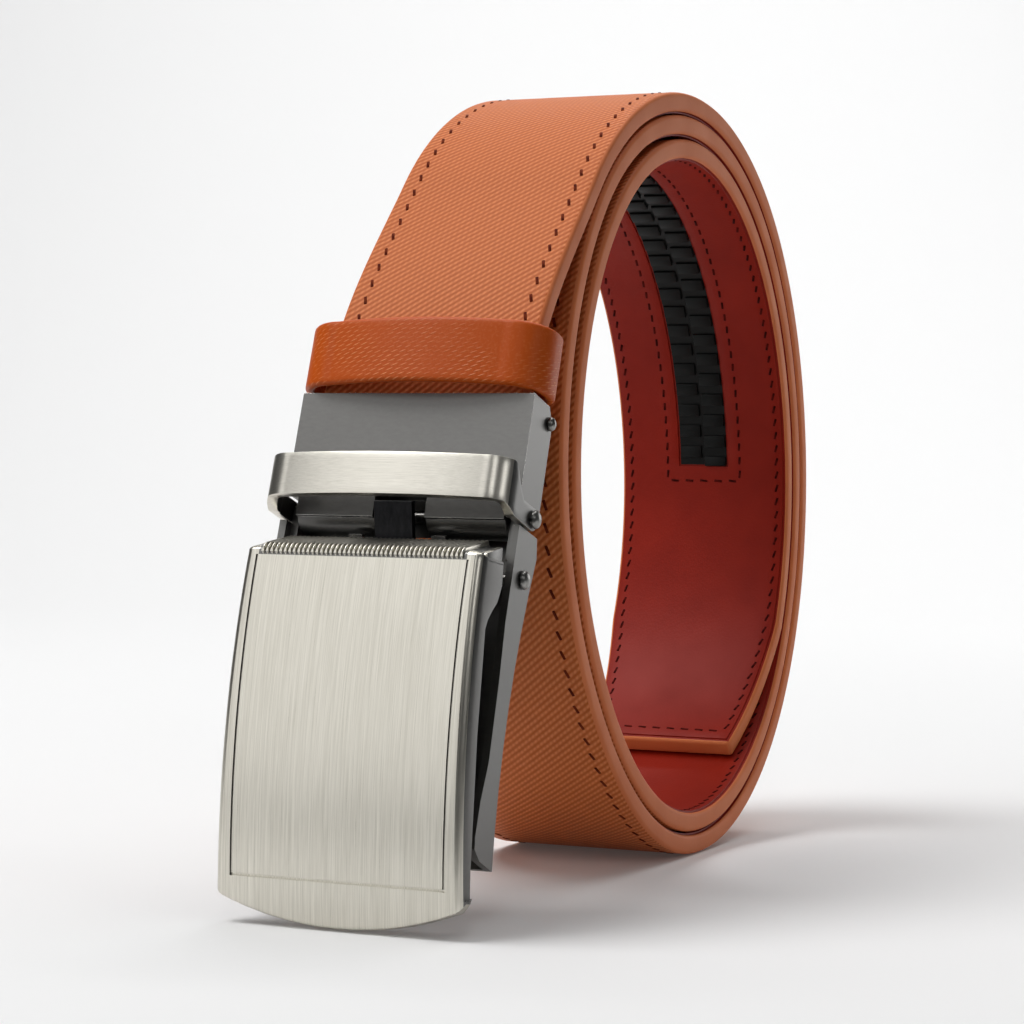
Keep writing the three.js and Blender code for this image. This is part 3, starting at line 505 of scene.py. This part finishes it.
def make_lining():
    """A sheet let in between the painted rims, with the window that shows the track."""
    thickness, sunk, gap, start, edge_round = 0.38, 0.1, 0.3, 1, 0.14
    end = strap.length - LINING_INSET
    half = TRACK_WIDTH / 2 + gap
    first, last = TRACK_START - gap, TRACK_END + gap
    bm = bmesh.new()
    bmesh.ops.create_grid(bm, x_segments=14, y_segments=CUTS_ALONG, size=0.5)
    bmesh.ops.scale(bm, vec=(2 * (STRAP_HALF - LINING_INSET), end - start, 1), verts=bm.verts)
    bmesh.ops.translate(bm, vec=(0, (end + start) / 2, 0), verts=bm.verts)
    cuts = [((x, 0, 0), (1, 0, 0)) for x in (-half, half)]
    cuts += [((0, y, 0), (0, 1, 0)) for y in (first, last)]
    for point, normal in cuts:
        bmesh.ops.bisect_plane(bm, geom=bm.verts[:] + bm.edges[:] + bm.faces[:], dist=1e-4,
                               plane_co=point, plane_no=normal)
    middles = [(face, face.calc_center_median()) for face in bm.faces]
    window = [face for face, c in middles if abs(c.x) < half and first < c.y < last]
    bmesh.ops.delete(bm, geom=window, context="FACES")
    for vert in bm.verts:
        vert.co.x *= (half_width(vert.co.y) - LINING_INSET) / (STRAP_HALF - LINING_INSET)
        vert.co.z = STRAP_BODY - sunk
    keep_flat_place(bm)
    bmesh.ops.recalc_face_normals(bm, faces=bm.faces)
    bmesh.ops.solidify(bm, geom=bm.verts[:] + bm.edges[:] + bm.faces[:], thickness=thickness)
    low = min(v.co.z for v in bm.verts)
    bmesh.ops.translate(bm, vec=(0, 0, STRAP_BODY - sunk - low), verts=bm.verts)
    rims = [e for e in bm.edges if len(e.link_faces) == 2 and e.calc_face_angle(0) > 1
            and min(v.co.z for v in e.verts) > STRAP_BODY + thickness / 2]
    bevel(bm, rims, edge_round, 2)
    wind(bm)
    return finish_piece("strap_lining_sheet", bm, IN_COIL, "belt", [lining_skin],
                        ["strap_lining"])


def make_track():
    """The moulded strip: a base, and two staggered columns of square-cut teeth."""
    tooth_share, from_middle, from_edge, ramp, edge_round = 0.62, 0.35, 0.15, 0.3, 0.16
    half = TRACK_WIDTH / 2
    floor, crest = STRAP_BODY + 0.06, STRAP_THICK + 0.45
    bm = bmesh.new()
    box(bm, (-half, half), (TRACK_START, TRACK_END), (STRAP_BODY - 0.5, floor))
    bmesh.ops.subdivide_edges(bm, edges=edges_along(bm, 1, 50), cuts=TOOTH_COUNT * 3, use_grid_fill=True)
    for column in (-1, 1):
        for i in range(TOOTH_COUNT):
            start = TRACK_START + (i + (0.5 if column > 0 else 0)) * TOOTH_PITCH
            stop = min(start + TOOTH_PITCH * tooth_share, TRACK_END)
            if stop - start < 1:
                continue
            inner, outer = sorted((column * from_middle, column * (half - from_edge)))
            tooth = box(bm, (inner, outer), (start + 0.5, stop + 0.2), (floor - 0.1, crest))
            for vert in tooth:
                if vert.co.z > STRAP_THICK and vert.co.y < (start + stop) / 2:
                    vert.co.z -= ramp
    top = [e for e in bm.edges if len(e.link_faces) == 2 and e.calc_face_angle(0) > 0.6
           and min(v.co.z for v in e.verts) > floor + 0.2]
    bevel(bm, top, edge_round, 2)
    wind(bm)
    return finish_piece("track_strip", bm, IN_COIL, "belt", [black_acetal],
                        ["ratchet_track"])


def sew(name, runs, material, pitch, long, wide, depth, proud):
    """Lock stitches along runs on the flat strap: each run is its two ends and the stitches' tilt.

    pitch, long, wide and proud are a stitch's sizes, and depth is how far inside the strap's face it lies.
    """
    bm = bmesh.new()
    for (x0, y0), (x1, y1), tilt in runs:
        reach = math.hypot(x1 - x0, y1 - y0)
        count = max(round(reach / pitch), 1)
        heading = math.atan2(y1 - y0, x1 - x0) + tilt
        for i in range(count):
            share = (i + 0.5) / count
            made = box(bm, (-long / 2, long / 2), (-wide / 2, wide / 2), (-proud, proud))
            place = Matrix.Translation((x0 + (x1 - x0) * share, y0 + (y1 - y0) * share, depth))
            bmesh.ops.transform(bm, matrix=place @ Matrix.Rotation(heading, 4, "Z"), verts=made)
    bevel(bm, bm.edges[:], proud * 0.6, 1)
    wind(bm)
    return finish_piece(name, bm, IN_COIL, "belt", [material], sharp=80)


def edge_runs(inset, first, last, step=11.1, tilt=0.3):
    """Seam runs that keep to the strap's edges, in short lengths so that they follow the tip."""
    runs = []
    for side in (-1, 1):
        place = first
        while place < last - 1:
            ahead = min(place + step, last)
            runs.append(((side * (half_width(place) - inset), place),
                         (side * (half_width(ahead) - inset), ahead), tilt))
            place = ahead
    return runs


def make_stitching():
    """A seam along each edge, and on the lining also across the tip and round the track."""
    last = strap.length - SEAM_TO_TIP
    sew("face_stitching", edge_runs(SEAM_INSET, SEAM_FROM, last), brown_thread,
        pitch=3.7, long=1.7, wide=0.5, depth=0.06, proud=0.13)
    inset, tilt, beside = 2.2, 0.1, TRACK_WIDTH / 2 + 2.75
    before, behind = TRACK_START - 3, TRACK_END + 3.4
    tip_half = half_width(last) - SEAM_INSET
    runs = edge_runs(inset, SEAM_FROM, last)
    runs.append(((tip_half, last), (-tip_half, last), tilt))
    runs += [((side * beside, before), (side * beside, behind), tilt) for side in (-1, 1)]
    runs += [((-beside, y), (beside, y), tilt) for y in (before, behind)]
    sew("lining_stitching", runs, red_thread,
        pitch=2.9, long=1.6, wide=0.45, depth=STRAP_THICK - 0.03, proud=0.13)


# The leather keeper

def make_keeper():
    """A leather band bent round the strap, crowned in front, with rounded rims."""
    wall, height, edge_round, crown, lean_more = 1.5, 10.6, 0.62, 1.6, 8
    room_beside, room_behind, room_before = 2.0, 1.1, 3.3
    back_corner, front_corner = 4, 6.5
    corner_steps, crown_steps, spacing = 12, 24, 1.5
    half = STRAP_HALF + room_beside + wall
    back = STRAP_THICK / 2 + room_behind + wall
    front = -STRAP_THICK / 2 - room_before - wall
    outline = []
    for side_x, side_y, corner, start in ((1, 1, back_corner, 0), (-1, 1, back_corner, 90),
                                          (-1, -1, front_corner, 180), (1, -1, front_corner, 270)):
        centre = Vector((side_x * (half - corner), back - corner if side_y > 0 else front + corner))
        for i in range(corner_steps + 1):
            angle = math.radians(start + 90 * i / corner_steps)
            outline.append(centre + Vector((corner * math.cos(angle), corner * math.sin(angle))))
        if start == 180:
            reach = half - corner
            for i in range(1, crown_steps):
                x = -reach + 2 * reach * i / crown_steps
                outline.append(Vector((x, front - crown * (1 - (x / reach) ** 2))))
    dense = []
    for a, b in zip(outline, outline[1:] + outline[:1]):
        count = max(int((b - a).length / spacing), 1)
        dense += [a.lerp(b, i / count) for i in range(count)]
    dense.append(dense[0].copy())
    line = Line(dense)
    line.normals[0] = line.normals[-1] = (line.normals[0] + line.normals[-1]).normalized()
    bm = bmesh.new()
    box(bm, (0, line.length), (-height / 2, height / 2), (0, wall))
    bmesh.ops.subdivide_edges(bm, edges=edges_along(bm, 1, 5), cuts=7, use_grid_fill=True)
    rims = [e for e in edges_along(bm, 0, 50) if abs(e.verts[0].co.y) > height / 2 - 0.1]
    bevel(bm, rims, edge_round, 4)
    ends = [f for f in bm.faces if abs(f.normal.x) > 0.9]
    bmesh.ops.delete(bm, geom=ends, context="FACES_ONLY")
    bmesh.ops.subdivide_edges(bm, edges=edges_along(bm, 0, 50), cuts=len(dense) * 2, use_grid_fill=True)
    keep_flat_place(bm)
    for vert in bm.verts:
        along, w, t = vert.co
        x, y = line.at(along, -t)
        vert.co = (x, y, w)
    bmesh.ops.remove_doubles(bm, verts=bm.verts, dist=1e-3)
    bmesh.ops.recalc_face_normals(bm, faces=bm.faces)
    middle = CLAMPED + 0.9 + height / 2
    at = strap.at(middle, STRAP_THICK / 2)
    ahead = strap.at(middle + 0.5) - strap.at(middle - 0.5)
    lean = math.atan2(-ahead.x, ahead.y) + math.radians(lean_more)
    return finish_piece("keeper_band", bm, IN_COIL @ placed(lean, at), "belt", [keeper_skin],
                        ["leather_keeper"])


# Metal pieces

def dress(name, source, body, materials, width=0.25, segments=2, from_angle=28):
    """A CAD piece with its edges rounded, as tumbling leaves them; they take the last material, which on the
    clamp and the frame is a painted highlight.
    """
    bm = bmesh.new()
    bm.from_mesh(frame["nodes"][source].data)
    bmesh.ops.remove_doubles(bm, verts=bm.verts, dist=1e-6)
    bmesh.ops.dissolve_limit(bm, angle_limit=math.radians(1.5), verts=bm.verts[:], edges=bm.edges[:])
    bmesh.ops.scale(bm, vec=(1 / MM, 1 / MM, 1 / MM), verts=bm.verts)
    limit = math.radians(from_angle)
    sharp = [e for e in bm.edges if len(e.link_faces) == 2 and e.calc_face_angle(0) > limit]
    made = bevel(bm, sharp, width, segments)
    for face in made["faces"]:
        face.material_index = len(materials) - 1
    piece = finish_piece(name, bm, Matrix.Identity(4), body, materials, [source], sharp=35)
    piece.modifiers.new("even_shading", "WEIGHTED_NORMAL").keep_sharp = True
    return piece


def make_catch():
    """The pawl is dark, and its two ears beside the tongue are painted bright: a painted highlight where
    their tops catch the light.
    """
    tongue_half = 4.5
    catch = dress("pawl_catch", "pawl", "catch", [dark_metal], 0.15, 2)
    catch.data.materials.append(edge_highlight_paint)
    # The ears take the bright colour: a painted highlight where their tops catch the light
    for polygon in catch.data.polygons:
        if abs(polygon.center.x) > tongue_half * MM:
            polygon.material_index = 1


def paint_sides_shaded(bm):
    """A part's sides take the darker satin colour: painted shade on the sides, which face away from the
    light.
    """
    bm.normal_update()
    # Painted shade: the sides are coloured darker than the brushed front
    for face in bm.faces:
        if abs(face.normal.x) > 0.88:
            face.material_index = 1


def make_rivet(name, source, body, at, radius, shank, head_from, head_height=0.9):
    """A riveted pin: a straight shank with a domed head at each end, spun about X."""
    rim, steps = 0.15, 7
    bm = bmesh.new()
    profile = [(0, head_from + head_height)]
    for i in range(1, steps + 1):
        angle = math.radians(90 - i * 90 / steps)
        dome = (head_height - rim) * math.sin(angle)
        profile.append((radius * math.cos(angle), head_from + rim + dome))
    profile += [(radius, head_from), (shank, head_from)]
    profile += [(r, -x) for r, x in reversed(profile)]
    verts = [bm.verts.new((x, r, 0)) for r, x in profile]
    edges = [bm.edges.new(pair) for pair in zip(verts, verts[1:])]
    bmesh.ops.spin(bm, geom=verts + edges, cent=(0, 0, 0), axis=(1, 0, 0), angle=TURN, steps=32,
                   use_merge=True)
    bmesh.ops.remove_doubles(bm, verts=bm.verts, dist=1e-4)
    bmesh.ops.recalc_face_normals(bm, faces=bm.faces)
    return finish_piece(name, bm, placed(0, at), body, [rivet_metal], [source], sharp=50)


LEG_END = 1.75  # the leg's half height, and its rounded end behind the pin


def leg_height(y):
    """The strip's lowest and highest edge at a depth behind the bar's front."""
    if y > 0:
        reach = math.sqrt(max(LEG_END ** 2 - y ** 2, 0.05))
        return -reach, reach
    low = read([(-9.5, -0.1), (-7.1, -1.6), (0, -LEG_END)], y)
    high = read([(-8.3, 6.6), (-5.8, 3.15), (-4.2, LEG_END), (0, LEG_END)], y)
    return low, high


def make_bar():
    """The loop's crowned bar and legs: a strip bent round two corners, its height set by the side view."""
    outer, corner, crown, front, back = 20.8, 4.2, 1.1, -11.1, 1.8
    thickness, leg_thickness, edge_round = 1.6, 1.3, 0.45
    leg_step, corner_steps, crown_steps = 0.6, 12, 32
    leg_points = int((back - front - corner) / leg_step)
    plan = [Vector((-outer, back - i * leg_step)) for i in range(leg_points)]
    for i in range(corner_steps + 1):
        angle = math.radians(180 + 90 * i / corner_steps)
        plan.append(Vector((-outer + corner + corner * math.cos(angle),
                            front + corner + corner * math.sin(angle))))
    reach = outer - corner
    for i in range(1, crown_steps + 1):
        x = -reach + 2 * reach * i / crown_steps
        plan.append(Vector((x, front - crown * (1 - (x / reach) ** 2))))
    plan += [Vector((-p.x, p.y)) for p in reversed(plan[:-crown_steps - 1])]
    line = Line(plan)
    bm = bmesh.new()
    bmesh.ops.create_grid(bm, x_segments=180, y_segments=6, size=0.5)
    for vert in bm.verts:
        x, y = line.at((vert.co.x + 0.5) * line.length)
        low, high = leg_height(y)
        vert.co = (x, y, low + (high - low) * (vert.co.y + 0.5))
    bmesh.ops.remove_doubles(bm, verts=bm.verts, dist=1e-3)
    bmesh.ops.recalc_face_normals(bm, faces=bm.faces)
    bmesh.ops.solidify(bm, geom=bm.verts[:] + bm.edges[:] + bm.faces[:], thickness=thickness)
    # the legs are thinner inside, to pass the frame's walls
    for vert in bm.verts:
        if vert.co.y > front + corner + 1 and abs(vert.co.x) < outer - 1:
            vert.co.x = math.copysign(outer - leg_thickness, vert.co.x)
    rims = [e for e in bm.edges if len(e.link_faces) == 2 and e.calc_face_angle(0) > 0.9]
    bevel(bm, rims, edge_round, 3)
    paint_sides_shaded(bm)
    return finish_piece("loop_bar", bm, IN_BUCKLE, "belt", [bar_metal, satin_metal],
                        ["metal_loop"], sharp=50)


# The face plate, about the lever pin

PLATE_HALF, PLATE_TAPER, PLATE_TOP, SIDE_BOTTOM, LIP_DROP = 20.7, 0.75, 40.9, -11.5, 4.2
PLATE_SHEET, PLATE_WALL = 1.8, 1.3
TOP_CORNER, BOTTOM_CORNER = 2, 1.8
FRONT_TO_PIN, PLATE_BOW = 5.13, 2.0
PANEL_HALF, PANEL_TOP, PANEL_BOTTOM = 17.35, 39.3, -8.6
GROOVE, GROOVE_DEPTH = 0.4, 0.3
COMB_HALF, RIB_PITCH, COMB_DEPTH, COMB_RISE = 17.3, 0.77, 8.5, 2.0
LEDGE_FROM = 0.9  # behind the plate's front, where the comb's ledge begins to rise
LEDGE_SLOPE = (COMB_RISE - 0.1) / (COMB_DEPTH - LEDGE_FROM)
# How far below the plate's top, and how far behind the pin the side wall ends there
SIDE_WALL = ((0.5, 2.4), (4.8, 2.3), (7.3, 0.8), (9.3, -1.6), (11, -2.8), (27, -3.4), (47, -2.9),
             (53.4, -2.2), (58.2, -1.7))


def plate_front(z):
    """Where the bowed front stands at a height."""
    share = (PANEL_TOP - z) / (PANEL_TOP - PANEL_BOTTOM)
    return -FRONT_TO_PIN - PLATE_BOW * 4 * share * (1 - share)


def plate_half(z):
    """Half the plate's width at a height: it narrows to the top."""
    share = (z - SIDE_BOTTOM) / (PLATE_TOP - SIDE_BOTTOM)
    return PLATE_HALF - PLATE_TAPER * min(max(share, 0), 1)


def plate_columns():
    """Across one half: (place, is from the side, depth of the front, place at the back, is wall)."""
    rows = [(x, False, 0, x, False) for x in (0, 3, 6, 9, 12, 15, PANEL_HALF)]
    rows += [(PANEL_HALF + x, False, depth, PANEL_HALF + x, False)
             for x, depth in ((0.05, GROOVE_DEPTH), (GROOVE - 0.05, GROOVE_DEPTH), (GROOVE, 0))]
    rows += [(-1.45, True, 0, -PLATE_WALL - 0.03, False), (-1.3, True, 0.02, -PLATE_WALL, True)]
    rows += [(-0.98, True, 0.16, -1.05, True), (-0.66, True, 0.46, -0.8, True),
             (-0.38, True, 0.9, -0.5, True), (-0.15, True, 1.42, -0.2, True), (0, True, 1.95, 0, True)]
    return rows


def plate_rows():
    """Down the plate: (height, depth of the front, is in the panel's lower groove)."""
    rows = [(PLATE_TOP, 1.1, False), (PLATE_TOP - 0.07, 0.7, False), (PLATE_TOP - 0.3, 0.35, False),
            (PLATE_TOP - 0.7, 0.1, False), (PLATE_TOP - 1.2, 0, False), (PANEL_TOP + 0.9, 0, False),
            (PANEL_TOP + 0.06, 0, False)]
    steps = 34
    rows += [(PANEL_TOP + (PANEL_BOTTOM - PANEL_TOP) * i / steps, 0, False) for i in range(steps + 1)]
    rows += [(PANEL_BOTTOM - 0.05, 0, True), (PANEL_BOTTOM - GROOVE + 0.05, 0, True),
             (PANEL_BOTTOM - GROOVE, 0, False), (PANEL_BOTTOM - GROOVE - 0.04, 0, False)]
    lip = SIDE_BOTTOM - LIP_DROP
    rows += [(z, 0, False) for z in (-10, -11.2, -12.4, -13.6, lip + 1.2, lip + 0.6)]
    return rows + [(lip + 0.3, 0.07, False), (lip + 0.08, 0.25, False), (lip, 0.55, False)]


def make_plate():
    """A bowed sheet between two side walls, with soft bevels and the panel's fine groove."""
    radius = (PLATE_HALF ** 2 + LIP_DROP ** 2) / (2 * LIP_DROP)
    lip, arch_from = SIDE_BOTTOM - LIP_DROP, -10
    half_columns = plate_columns()
    columns = [(-1, c) for c in reversed(half_columns[1:])] + [(1, c) for c in half_columns]
    bm = bmesh.new()
    fronts, backs = [], []
    for height, row_depth, low_groove in plate_rows():
        front, back = [], []
        for side, (at, from_side, depth, back_at, is_wall) in columns:
            half = plate_half(height)
            x = half + at if from_side else at
            edge = lip + radius - math.sqrt(radius ** 2 - x ** 2)
            into_corner = max(x - half + BOTTOM_CORNER, 0)
            edge += BOTTOM_CORNER - math.sqrt(max(BOTTOM_CORNER ** 2 - into_corner ** 2, 0))
            z = height
            if z < arch_from:
                z = arch_from + (z - arch_from) * (edge - arch_from) / (lip - arch_from)
            corner = max(x - half + TOP_CORNER, 0) / TOP_CORNER
            z -= corner ** 2 * min(max((height - PANEL_TOP) / (PLATE_TOP - PANEL_TOP), 0), 1)
            in_groove = depth == GROOVE_DEPTH and PANEL_BOTTOM - GROOVE < height + 0.01 <= PANEL_TOP + 0.01
            if depth == GROOVE_DEPTH and not in_groove:
                depth = 0
            if low_groove and x < PANEL_HALF + GROOVE - 0.02:
                depth = GROOVE_DEPTH + 0.15
            y = plate_front(z) + max(depth, row_depth)
            front.append(bm.verts.new((side * x, y, z)))
            back_x = half + back_at if from_side else back_at
            behind = read(SIDE_WALL, PLATE_TOP - height) if is_wall else plate_front(z) + PLATE_SHEET
            back.append(bm.verts.new((side * back_x, max(behind, y + 0.3), z)))
        fronts.append(front)
        backs.append(back)
    for a, b, c, d in zip(fronts, fronts[1:], backs, backs[1:]):
        for i in range(len(columns) - 1):
            bm.faces.new((a[i], b[i], b[i + 1], a[i + 1]))
            bm.faces.new((c[i], c[i + 1], d[i + 1], d[i]))
        bm.faces.new((a[0], c[0], d[0], b[0]))
        bm.faces.new((a[-1], b[-1], d[-1], c[-1]))
    for front, back, flip in ((fronts[0], backs[0], False), (fronts[-1], backs[-1], True)):
        for i in range(len(columns) - 1):
            ring = (front[i], front[i + 1], back[i + 1], back[i])
            bm.faces.new(tuple(reversed(ring)) if flip else ring)
    bmesh.ops.recalc_face_normals(bm, faces=bm.faces)
    add_lugs(bm)
    paint_sides_shaded(bm)
    # The plate's top behind the comb's ribs takes the darker satin colour: painted shade in the hollows
    # between the ribs
    for face in bm.faces:
        centre = face.calc_center_median()
        if centre.z > PANEL_TOP + 0.05 and abs(centre.x) < COMB_HALF:
            face.material_index = 1  # between the comb's ribs: painted shade in the hollows
    return finish_piece("plate_shell", bm, ON_LEVER, "plate", [plate_metal, satin_metal],
                        ["face_plate"], sharp=38)


def add_lugs(bm):
    """The lugs behind the plate's top corners, the shelf between them, and the ears on the lever pin."""
    ear_outer, ear_inner, ear_radius, ear_foot = 18.9, 17.7, 1.75, 3.3
    top, front = PLATE_TOP, plate_front(PLATE_TOP)
    outer = plate_half(top)
    foot = plate_front(0) + PLATE_SHEET - 0.4
    for side in (-1, 1):
        lug = [(front + 1.4, top - 4), (front + 1.4, top - 0.3),
               (front + 7, top + 1.3), (front + 7, top - 4)]
        extrude_outline(bm, lug, side * (outer - PLATE_WALL), side * (outer - 0.06), 0.25)
        ear = [(foot, ear_foot), (foot, -ear_foot)]
        for degrees in range(-80, 81, 16):
            angle = math.radians(degrees)
            ear.append((ear_radius * math.cos(angle), ear_radius * math.sin(angle)))
        extrude_outline(bm, ear, side * ear_outer, side * ear_inner, 0.2)
    shelf = [(front + 0.9, top - 1.3), (front + 0.9, top - 0.3),
             (front + 6.9, top + 1.2), (front + 6.9, top - 0.2)]
    extrude_outline(bm, shelf, -outer + 0.65, outer - 0.65, 0.2)
    far = front + COMB_DEPTH - 0.05
    ledge = [(front + 0.4, top - 1.6), (front + 0.4, top - 0.7), (front + LEDGE_FROM, top - 0.2),
             (far, top - 0.2 + LEDGE_SLOPE * (COMB_DEPTH - LEDGE_FROM)), (far, top + COMB_RISE - 1.3),
             (front + 2, top - 1.2)]
    extrude_outline(bm, ledge, -COMB_HALF + 0.2, COMB_HALF - 0.2, 0.12)


def extrude_outline(bm, outline, low, high, width):
    """A plate seen from the side as an outline of (y, z), from x = low to x = high."""
    verts = [bm.verts.new((low, y, z)) for y, z in outline]
    face = bm.faces.new(verts)
    grown = bmesh.ops.extrude_face_region(bm, geom=[face])["geom"]
    far = [v for v in grown if isinstance(v, bmesh.types.BMVert)]
    bmesh.ops.translate(bm, vec=(high - low, 0, 0), verts=far)
    own = set(verts) | set(far)
    faces = [f for f in bm.faces if all(v in own for v in f.verts)]
    bmesh.ops.recalc_face_normals(bm, faces=faces)
    rims = [e for e in bm.edges if all(v in own for v in e.verts) and e.calc_face_angle(0) > 0.5]
    bevel(bm, rims, width, 2)


def make_comb():
    """The thumb grip: round ribs that run up the front, over the top edge and back along the ledge."""
    bend, bend_steps = 0.95, 6
    half_rib, rib_height, half_root, root_depth = 0.33 * RIB_PITCH, 0.55 * RIB_PITCH, 0.25, -0.4
    bm = bmesh.new()
    top, front = PLATE_TOP, plate_front(PLATE_TOP)
    spine = [Vector((plate_front(z) + inside, z)) for z, inside in
             ((PANEL_TOP + 0.2, 0.25), (PANEL_TOP + 0.45, 0.05), (PANEL_TOP + 1.2, 0), (top - 1, 0))]
    for i in range(bend_steps + 1):
        angle = math.radians(174 - i * 74 / bend_steps)
        spine.append(Vector((front + bend + bend * math.cos(angle), top - 0.85 + bend * math.sin(angle))))
    spine += [Vector((front + y, top + 0.15 + (y - LEDGE_FROM) * LEDGE_SLOPE)) for y in (3, 5.5, COMB_DEPTH)]
    line = Line(spine)
    count = int(2 * COMB_HALF / RIB_PITCH)
    ring = [(math.cos(math.radians(a)) * half_rib, math.sin(math.radians(a)) * rib_height)
            for a in (0, 36, 72, 108, 144, 180)] + [(-half_root, root_depth), (half_root, root_depth)]
    for k in range(count):
        across = (k - (count - 1) / 2) * RIB_PITCH
        loops = []
        for i, place in enumerate(line.lengths):
            grown = 0.55 if i == 0 else 1
            loop = []
            for dx, up in ring:
                y, z = line.at(place, -up * grown)
                loop.append(bm.verts.new((across + dx * grown, y, z)))
            loops.append(loop)
        edges = [[bm.edges.new(pair) for pair in zip(loop, loop[1:] + loop[:1])] for loop in loops]
        for a, b in zip(edges, edges[1:]):
            bmesh.ops.bridge_loops(bm, edges=a + b)
        for loop in (loops[0], loops[-1]):
            bm.faces.new(loop)
    bmesh.ops.recalc_face_normals(bm, faces=bm.faces)
    return finish_piece("plate_comb", bm, ON_LEVER, "plate", [plate_metal], sharp=60)


make_strap_body()
make_lining()
make_track()
make_stitching()
make_keeper()
# The clamp's and the frame's rounded edges take the bright colour: a painted highlight where they catch the
# light
dress("clamp_shell", "clamp_body", "belt", [satin_metal, edge_highlight_paint], 0.42, 3)
dress("jaw_flap", "clamp_jaw", "belt", [satin_metal], 0.2, 2)
dress("frame_shell", "buckle_frame", "frame", [satin_metal, edge_highlight_paint], 0.22, 2)
make_catch()
make_rivet("hinge_rivet", "hinge_pin", "belt", hinge_at, radius=1.45, shank=1.0, head_from=21.1)
make_rivet("pawl_rivet", "pawl_pin", "frame", pawl_at, radius=1.45, shank=0.9, head_from=20.61)
make_rivet("jaw_rivet", "jaw_pin", "belt", jaw_at, radius=1.1, shank=0.6, head_from=20.05)
make_bar()
make_plate()
make_comb()

# The lever pin is hidden behind the plate, and keeps the CAD's shape
hidden_pin = frame["nodes"]["lever_pin"]
hidden_pin.data.materials.clear()
hidden_pin.data.materials.append(rivet_metal)


# Studio: a pale sweep and soft lights

def make_sweep():
    """A sheet of paper on the floor that bends up behind the belt, turned to face the camera; in metres."""
    half_wide, half_long, middle = 1.0, 1.3, 1.147
    bend_from, bend, quarter = 0.9, 0.6, math.pi / 2
    below, turned = 0.0002, 0.41
    bm = bmesh.new()
    bmesh.ops.create_grid(bm, x_segments=4, y_segments=60, size=1)
    bmesh.ops.scale(bm, vec=(half_wide, half_long, 1), verts=bm.verts)
    bmesh.ops.translate(bm, vec=(0, middle, 0), verts=bm.verts)
    for vert in bm.verts:
        over = vert.co.y - bend_from
        if over > 0:
            angle = min(over / bend, quarter)
            rise = max(over - bend * quarter, 0)
            vert.co.y = bend_from + bend * math.sin(angle)
            vert.co.z = bend * (1 - math.cos(angle)) + rise
    mesh = bpy.data.meshes.new("sweep")
    for face in bm.faces:
        face.smooth = True
    bm.transform(Matrix.Translation((0, 0, -below)) @ Matrix.Rotation(turned, 4, "Z"))
    bm.to_mesh(mesh)
    bm.free()
    paper, shader = surface("matt_backdrop_paper", Roughness=0.9, Specular_IOR_Level=0.2)
    shader.inputs["Base Color"].default_value = linear(0xE3E3E3)
    shader.inputs["Emission Color"].default_value = linear(0xFFFFFF)
    shader.inputs["Emission Strength"].default_value = 0.03
    mesh.materials.append(paper)
    sweep = bpy.data.objects.new("sweep", mesh)
    bpy.context.scene.collection.objects.link(sweep)


def soft_light(name, place, aim, size, power):
    """A rectangular lamp, in metres and watts, turned to what it lights."""
    data = bpy.data.lights.new(name, "AREA")
    data.shape, data.size, data.size_y = "RECTANGLE", size[0], size[1]
    data.energy = power
    light = bpy.data.objects.new(name, data)
    light.location = place
    light.rotation_euler = (Vector(aim) - Vector(place)).to_track_quat("-Z", "Y").to_euler()
    bpy.context.scene.collection.objects.link(light)


make_sweep()
soft_light("key", (-0.5, -0.4, 1.2), (0, 0, 0.06), (0.7, 0.7), 12)
soft_light("front", (-0.6, -1.2, 0.5), (0, 0, 0.05), (0.9, 1.2), 3.7)
soft_light("top", (0.1, 0.3, 1.2), (0, 0.05, 0), (0.9, 0.9), 4.5)
soft_light("fill", (1.05, -0.42, 0.5), (0, 0, 0.06), (0.35, 0.22), 0.7)
soft_light("side", (0.6, 1.2, 0.3), (0, 0, 0.05), (0.5, 0.5), 2)
soft_light("edge", (0.4, -0.95, 0.75), (0, 0, 0.05), (0.12, 0.5), 0.8)
soft_light("backdrop", (-0.2, 0.9, 1.4), (-0.4, 1.6, 0.4), (1.2, 0.5), 13.7)

world = bpy.data.worlds.new("studio")
world.use_nodes = True
sky = world.node_tree.nodes["Background"]
sky.inputs["Color"].default_value = linear(0xE8EAEC)
# The room round the sweep is dim for the metal to reflect, and pale where it is seen past the sweep's edge
DIM_ROOM, SEEN_ROOM = 0.05, 1.0
seen = node(world, "ShaderNodeLightPath").outputs["Is Camera Ray"]
strength = node(world, "ShaderNodeMath", {0: seen, 1: SEEN_ROOM - DIM_ROOM, 2: DIM_ROOM},
                operation="MULTIPLY_ADD")
link(world, strength.outputs[0], sky, "Strength")
bpy.context.scene.world = world
